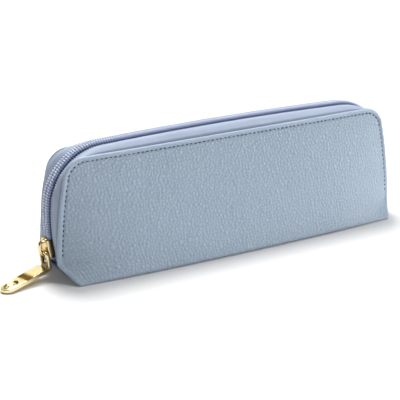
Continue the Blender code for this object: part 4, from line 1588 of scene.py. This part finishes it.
@dataclass(frozen=True)
class PullTab:
    """Flat tab with an eye at one end and an oval dish with a plain dome near the other."""

    length: float = 28.5 * MM
    half_width: float = 4.0 * MM
    thickness: float = 2.0 * MM
    yaw: float = math.radians(16.5)
    pitch: float = math.radians(9.4)
    dish: tuple[float, float] = (4.0 * MM, 2.5 * MM)
    dish_depth: float = 0.42 * MM
    dish_inset: float = 5.6 * MM
    dome: tuple[float, float] = (1.7 * MM, 0.85 * MM)
    eye: float = 2.3 * MM
    bore: float = 1.35 * MM
    eye_half: float = 1.9 * MM
    edge: float = 0.42 * MM
    shoulder: float = 1.4 * MM
    shoulder_x: float = -3.4 * MM
    neck_x: tuple[float, float] = (-2.4 * MM, -1.2 * MM)
    # Where a painted reflection, a dark brown band, crosses the upper face, as shares of the length.
    belt: tuple[float, float, float, float] = (-0.58, -0.54, -0.44, -0.35)

    def place(self) -> Matrix:
        """The tab's own axes at its pivot."""
        pivot, _ = joint_place("tab_swing")
        turn = Euler((0.0, -self.pitch, self.yaw)).to_matrix().to_4x4()
        return Matrix.Translation(pivot) @ turn

    def outline(self) -> np.ndarray:
        """Plan of the tab from its round end back to the rounded shoulders."""
        end = arc((self.half_width - self.length, 0.0), self.half_width, QUARTER_TURN,
                  3.0 * QUARTER_TURN, 40)
        spot = self.half_width - self.shoulder
        low = arc((self.shoulder_x, -spot), self.shoulder, 3.0 * QUARTER_TURN, FULL_TURN, 10)
        high = arc((self.shoulder_x, spot), self.shoulder, 0.0, QUARTER_TURN, 10)
        run = np.linspace(0.0, 1.0, 60, endpoint=False)[1:, None] ** 1.7
        below = end[-1] + (low[0] - end[-1]) * run
        above = end[0] + (high[-1] - end[0]) * run[::-1]
        rear, fore = self.neck_x
        neck = np.array([[rear, -self.eye_half], [fore, -self.eye_half],
                         [fore, self.eye_half], [rear, self.eye_half]])
        return np.vstack([end, below, low, neck, high, above])

    def surface(self, x: np.ndarray, y: np.ndarray) -> tuple[np.ndarray, np.ndarray]:
        """Depth of the upper face below its plane, and a mask of painted shade on the dish's wall and,
        fainter, on its floor.
        """
        centre = self.dish_inset - self.length
        oval = np.hypot((x - centre) / self.dish[0], y / self.dish[1])
        wall = 1.0 - smoothstep(oval, 0.70, 1.06)
        bump = np.hypot((x - centre) / self.dome[0], y / self.dome[1])
        dome = np.sqrt(np.clip(1.0 - bump ** 2, 0.0, 1.0))
        lip = 0.14 * MM * np.exp(-((oval - 1.1) / 0.07) ** 2)
        outline = np.exp(-((oval - 0.90) / 0.13) ** 2)
        depth = self.dish_depth * wall * (1.0 - 0.85 * dome) - lip
        return depth, np.maximum(outline, 0.35 * wall * (1.0 - dome))

    def plate(self) -> tuple[np.ndarray, np.ndarray]:
        """Rings of the plate from the lower face's middle to the dish's middle, and their painted shade
        mask.
        """
        outline = self.outline()
        centre = np.array([self.dish_inset - self.length, 0.0])
        reach = np.linalg.norm(outline - centre, axis=1, keepdims=True)
        half = 0.5 * self.thickness
        levels = rounded_levels(reach, -half, half, self.edge, 6)
        inner = 1.0 - self.edge / reach
        way = (outline - centre) / reach
        oval = 1.2 / np.hypot(way[:, :1] / self.dish[0], way[:, 1:] / self.dish[1]) / reach
        levels += [(inner + (oval - inner) * share, half) for share in np.linspace(0.0, 1.0, 16)[1:]]
        levels += [(oval * share, half) for share in np.linspace(1.0, 0.01, 48)[1:]]
        rings, masks = [], []
        for share, height in levels:
            flat = centre + (outline - centre) * share
            sink, mask = self.surface(flat[:, 0], flat[:, 1])
            top = height >= half - 1e-9
            rings.append(np.column_stack([flat, height - sink * top]))
            masks.append(mask * top)
        return np.stack(rings), np.stack(masks)

    def build(self, finishes: Finishes) -> None:
        """Plate and eye as one piece that rides on the tab."""
        place = self.place()
        rings, mask = self.plate()
        soup = Soup()
        soup.sweep(placed(rings, place))
        middle, half = 0.5 * (self.eye + self.bore), 0.5 * (self.eye - self.bore)
        angle = np.linspace(0.0, FULL_TURN, 48, endpoint=False)
        path = np.stack([middle * np.cos(angle), np.zeros(angle.shape), middle * np.sin(angle)], axis=1)
        section = round_section(self.eye_half, half, 20, 4.0)
        barrel = swept(path, [0.0, 1.0, 0.0], section, closed=True)
        soup.sweep(placed(barrel, place), closed=True)
        # Painted reflection: a dark brown band across the upper face; painted shade in the dish.
        run = rings[..., 0] / self.length
        belt = smoothstep(run, *self.belt[:2]) * (1.0 - smoothstep(run, *self.belt[2:]))
        facing = (rings[..., 2] > 0.3 * self.thickness) * 1.0
        shade = np.maximum(0.85 * mask, 0.97 * belt * facing)
        marks = np.concatenate([shade.ravel(), np.zeros(barrel.shape[0] * barrel.shape[1])])
        item = soup.piece("tab_plate", {"painted_light": marks})
        fasten(item, finishes.gold, "tab", "pull_tab")


# --- studio -----------------------------------------------------------------------------------
@dataclass(frozen=True)
class Studio:
    """Pale floor, soft lights and the camera."""

    azimuth: float = math.radians(-30.12)
    elevation: float = math.radians(18.65)
    roll: float = math.radians(0.61)
    distance: float = 0.71876
    aim_right: float = -0.01226
    aim_up: float = 0.02112
    lens: float = 120.43
    target: tuple[float, float, float] = (0.0, 0.0, 0.03)
    floor_half: float = 6.0
    room: float = 0.24
    lights: tuple[tuple[str, tuple[float, float, float], float, float], ...] = (
        ("back_top", (0.08, 0.44, 1.10), 0.40, 15.5),
        ("back_low", (0.30, 0.94, 0.63), 0.8, 2.1),
        ("top", (0.25, -0.30, 1.05), 0.25, 3.3),
        ("front_left", (-0.9, -1.0, 0.20), 0.8, 2.2),
        ("front_right", (1.0, -0.62, 0.20), 0.30, 8.2),
    )

    def camera(self) -> None:
        """A long lens from the front left, a little above the case."""
        a, e = self.azimuth, self.elevation
        right = Vector((math.cos(a), math.sin(a), 0.0))
        back = Vector((math.sin(a) * math.cos(e), -math.cos(a) * math.cos(e), math.sin(e)))
        up = back.cross(right)
        data = bpy.data.cameras.new("camera")
        data.lens = self.lens
        data.sensor_width = 36.0
        data.clip_start, data.clip_end = 0.01, 50.0
        camera = bpy.data.objects.new("camera", data)
        bpy.context.scene.collection.objects.link(camera)
        spot = right * self.aim_right + up * self.aim_up + back * self.distance
        axes = Matrix((right, up, back)).transposed().to_4x4()
        camera.matrix_world = Matrix.Translation(spot) @ axes @ Matrix.Rotation(-self.roll, 4, "Z")
        bpy.context.scene.camera = camera

    def floor(self) -> None:
        """A wide white floor."""
        size = self.floor_half
        data = bpy.data.meshes.new("floor")
        data.from_pydata([(-size, -size, 0), (size, -size, 0), (size, size, 0), (-size, size, 0)], [],
                         [(0, 1, 2, 3)])
        item = bpy.data.objects.new("floor", data)
        bpy.context.scene.collection.objects.link(item)
        material, tree, shader = started("white_floor")
        noise = tree.node("TexNoise", {"Vector": tree.place(), "Scale": 3.0, "Detail": 2.0})
        colour = tree.mix(noise.outputs[0], tint(0.80, 0.80, 0.80), tint(0.78, 0.78, 0.78))
        tree.feed(shader, {"Base Color": colour, "Roughness": 0.9, "Specular IOR Level": 0.1})
        data.materials.append(material)

    def light(self, name: str, spot: tuple[float, float, float], size: float, power: float) -> None:
        """A square soft light aimed at the case.

        Args:
            name: The light's name.
            spot: Its place.
            size: Its width.
            power: Its power in watts.
        """
        data = bpy.data.lights.new(name, "AREA")
        data.size = size
        data.energy = power
        item = bpy.data.objects.new(name, data)
        item.location = spot
        aim = Vector(self.target) - Vector(spot)
        item.rotation_euler = aim.to_track_quat("-Z", "Y").to_euler()
        bpy.context.scene.collection.objects.link(item)

    def world(self) -> None:
        """Soft room: bright overhead, with a darker warm belt low down that shows in the metal."""
        world = bpy.data.worlds.new("room")
        bpy.context.scene.world = world
        world.use_nodes = True
        tree = Tree(world.node_tree)
        direction = tree.node("TexCoord").outputs["Generated"]
        split = tree.node("SeparateXYZ", {0: direction})
        belt = tree.node("ValToRGB", {0: tree.ramp(split.outputs[2], -0.2, 1.0)})
        ramp = belt.color_ramp
        ramp.elements[0].position, ramp.elements[0].color = 0.0, tint(0.75, 0.74, 0.72)
        ramp.elements[1].position, ramp.elements[1].color = 1.0, tint(1.0, 1.0, 1.0)
        for position, colour in ((0.12, tint(0.85, 0.84, 0.82)), (0.18, tint(0.20, 0.13, 0.07)),
                                 (0.26, tint(0.30, 0.20, 0.10)), (0.34, tint(1.0, 0.99, 0.97))):
            ramp.elements.new(position).color = colour
        background = world.node_tree.nodes["Background"]
        tree.feed(background, {"Color": belt.outputs[0], "Strength": self.room})

    def build(self) -> None:
        """Set up camera, floor, lights and room."""
        self.camera()
        self.floor()
        self.world()
        for light in self.lights:
            self.light(*light)
        bpy.context.scene.view_settings.view_transform = "Standard"


def main() -> None:
    """Build the case piece by piece, dress it, and light it."""
    logging.basicConfig(level=logging.INFO, format="%(name)s: %(message)s")
    Studio().build()
    finishes = Finishes.build()
    for side in Side:
        Panel(side).build(finishes)
        Band(side).build(finishes)
        ZipTape(side).build(finishes)
        ZipCoil(side).build(finishes)
        Lining(side).build(finishes)
    Base().build(finishes)
    EndGusset("left", -1).build(finishes)
    EndGusset("right", 1).build(finishes)
    Slider().build(finishes)
    PullLink().build(finishes)
    PullTab().build(finishes)


if __name__ == "__main__":
    main()
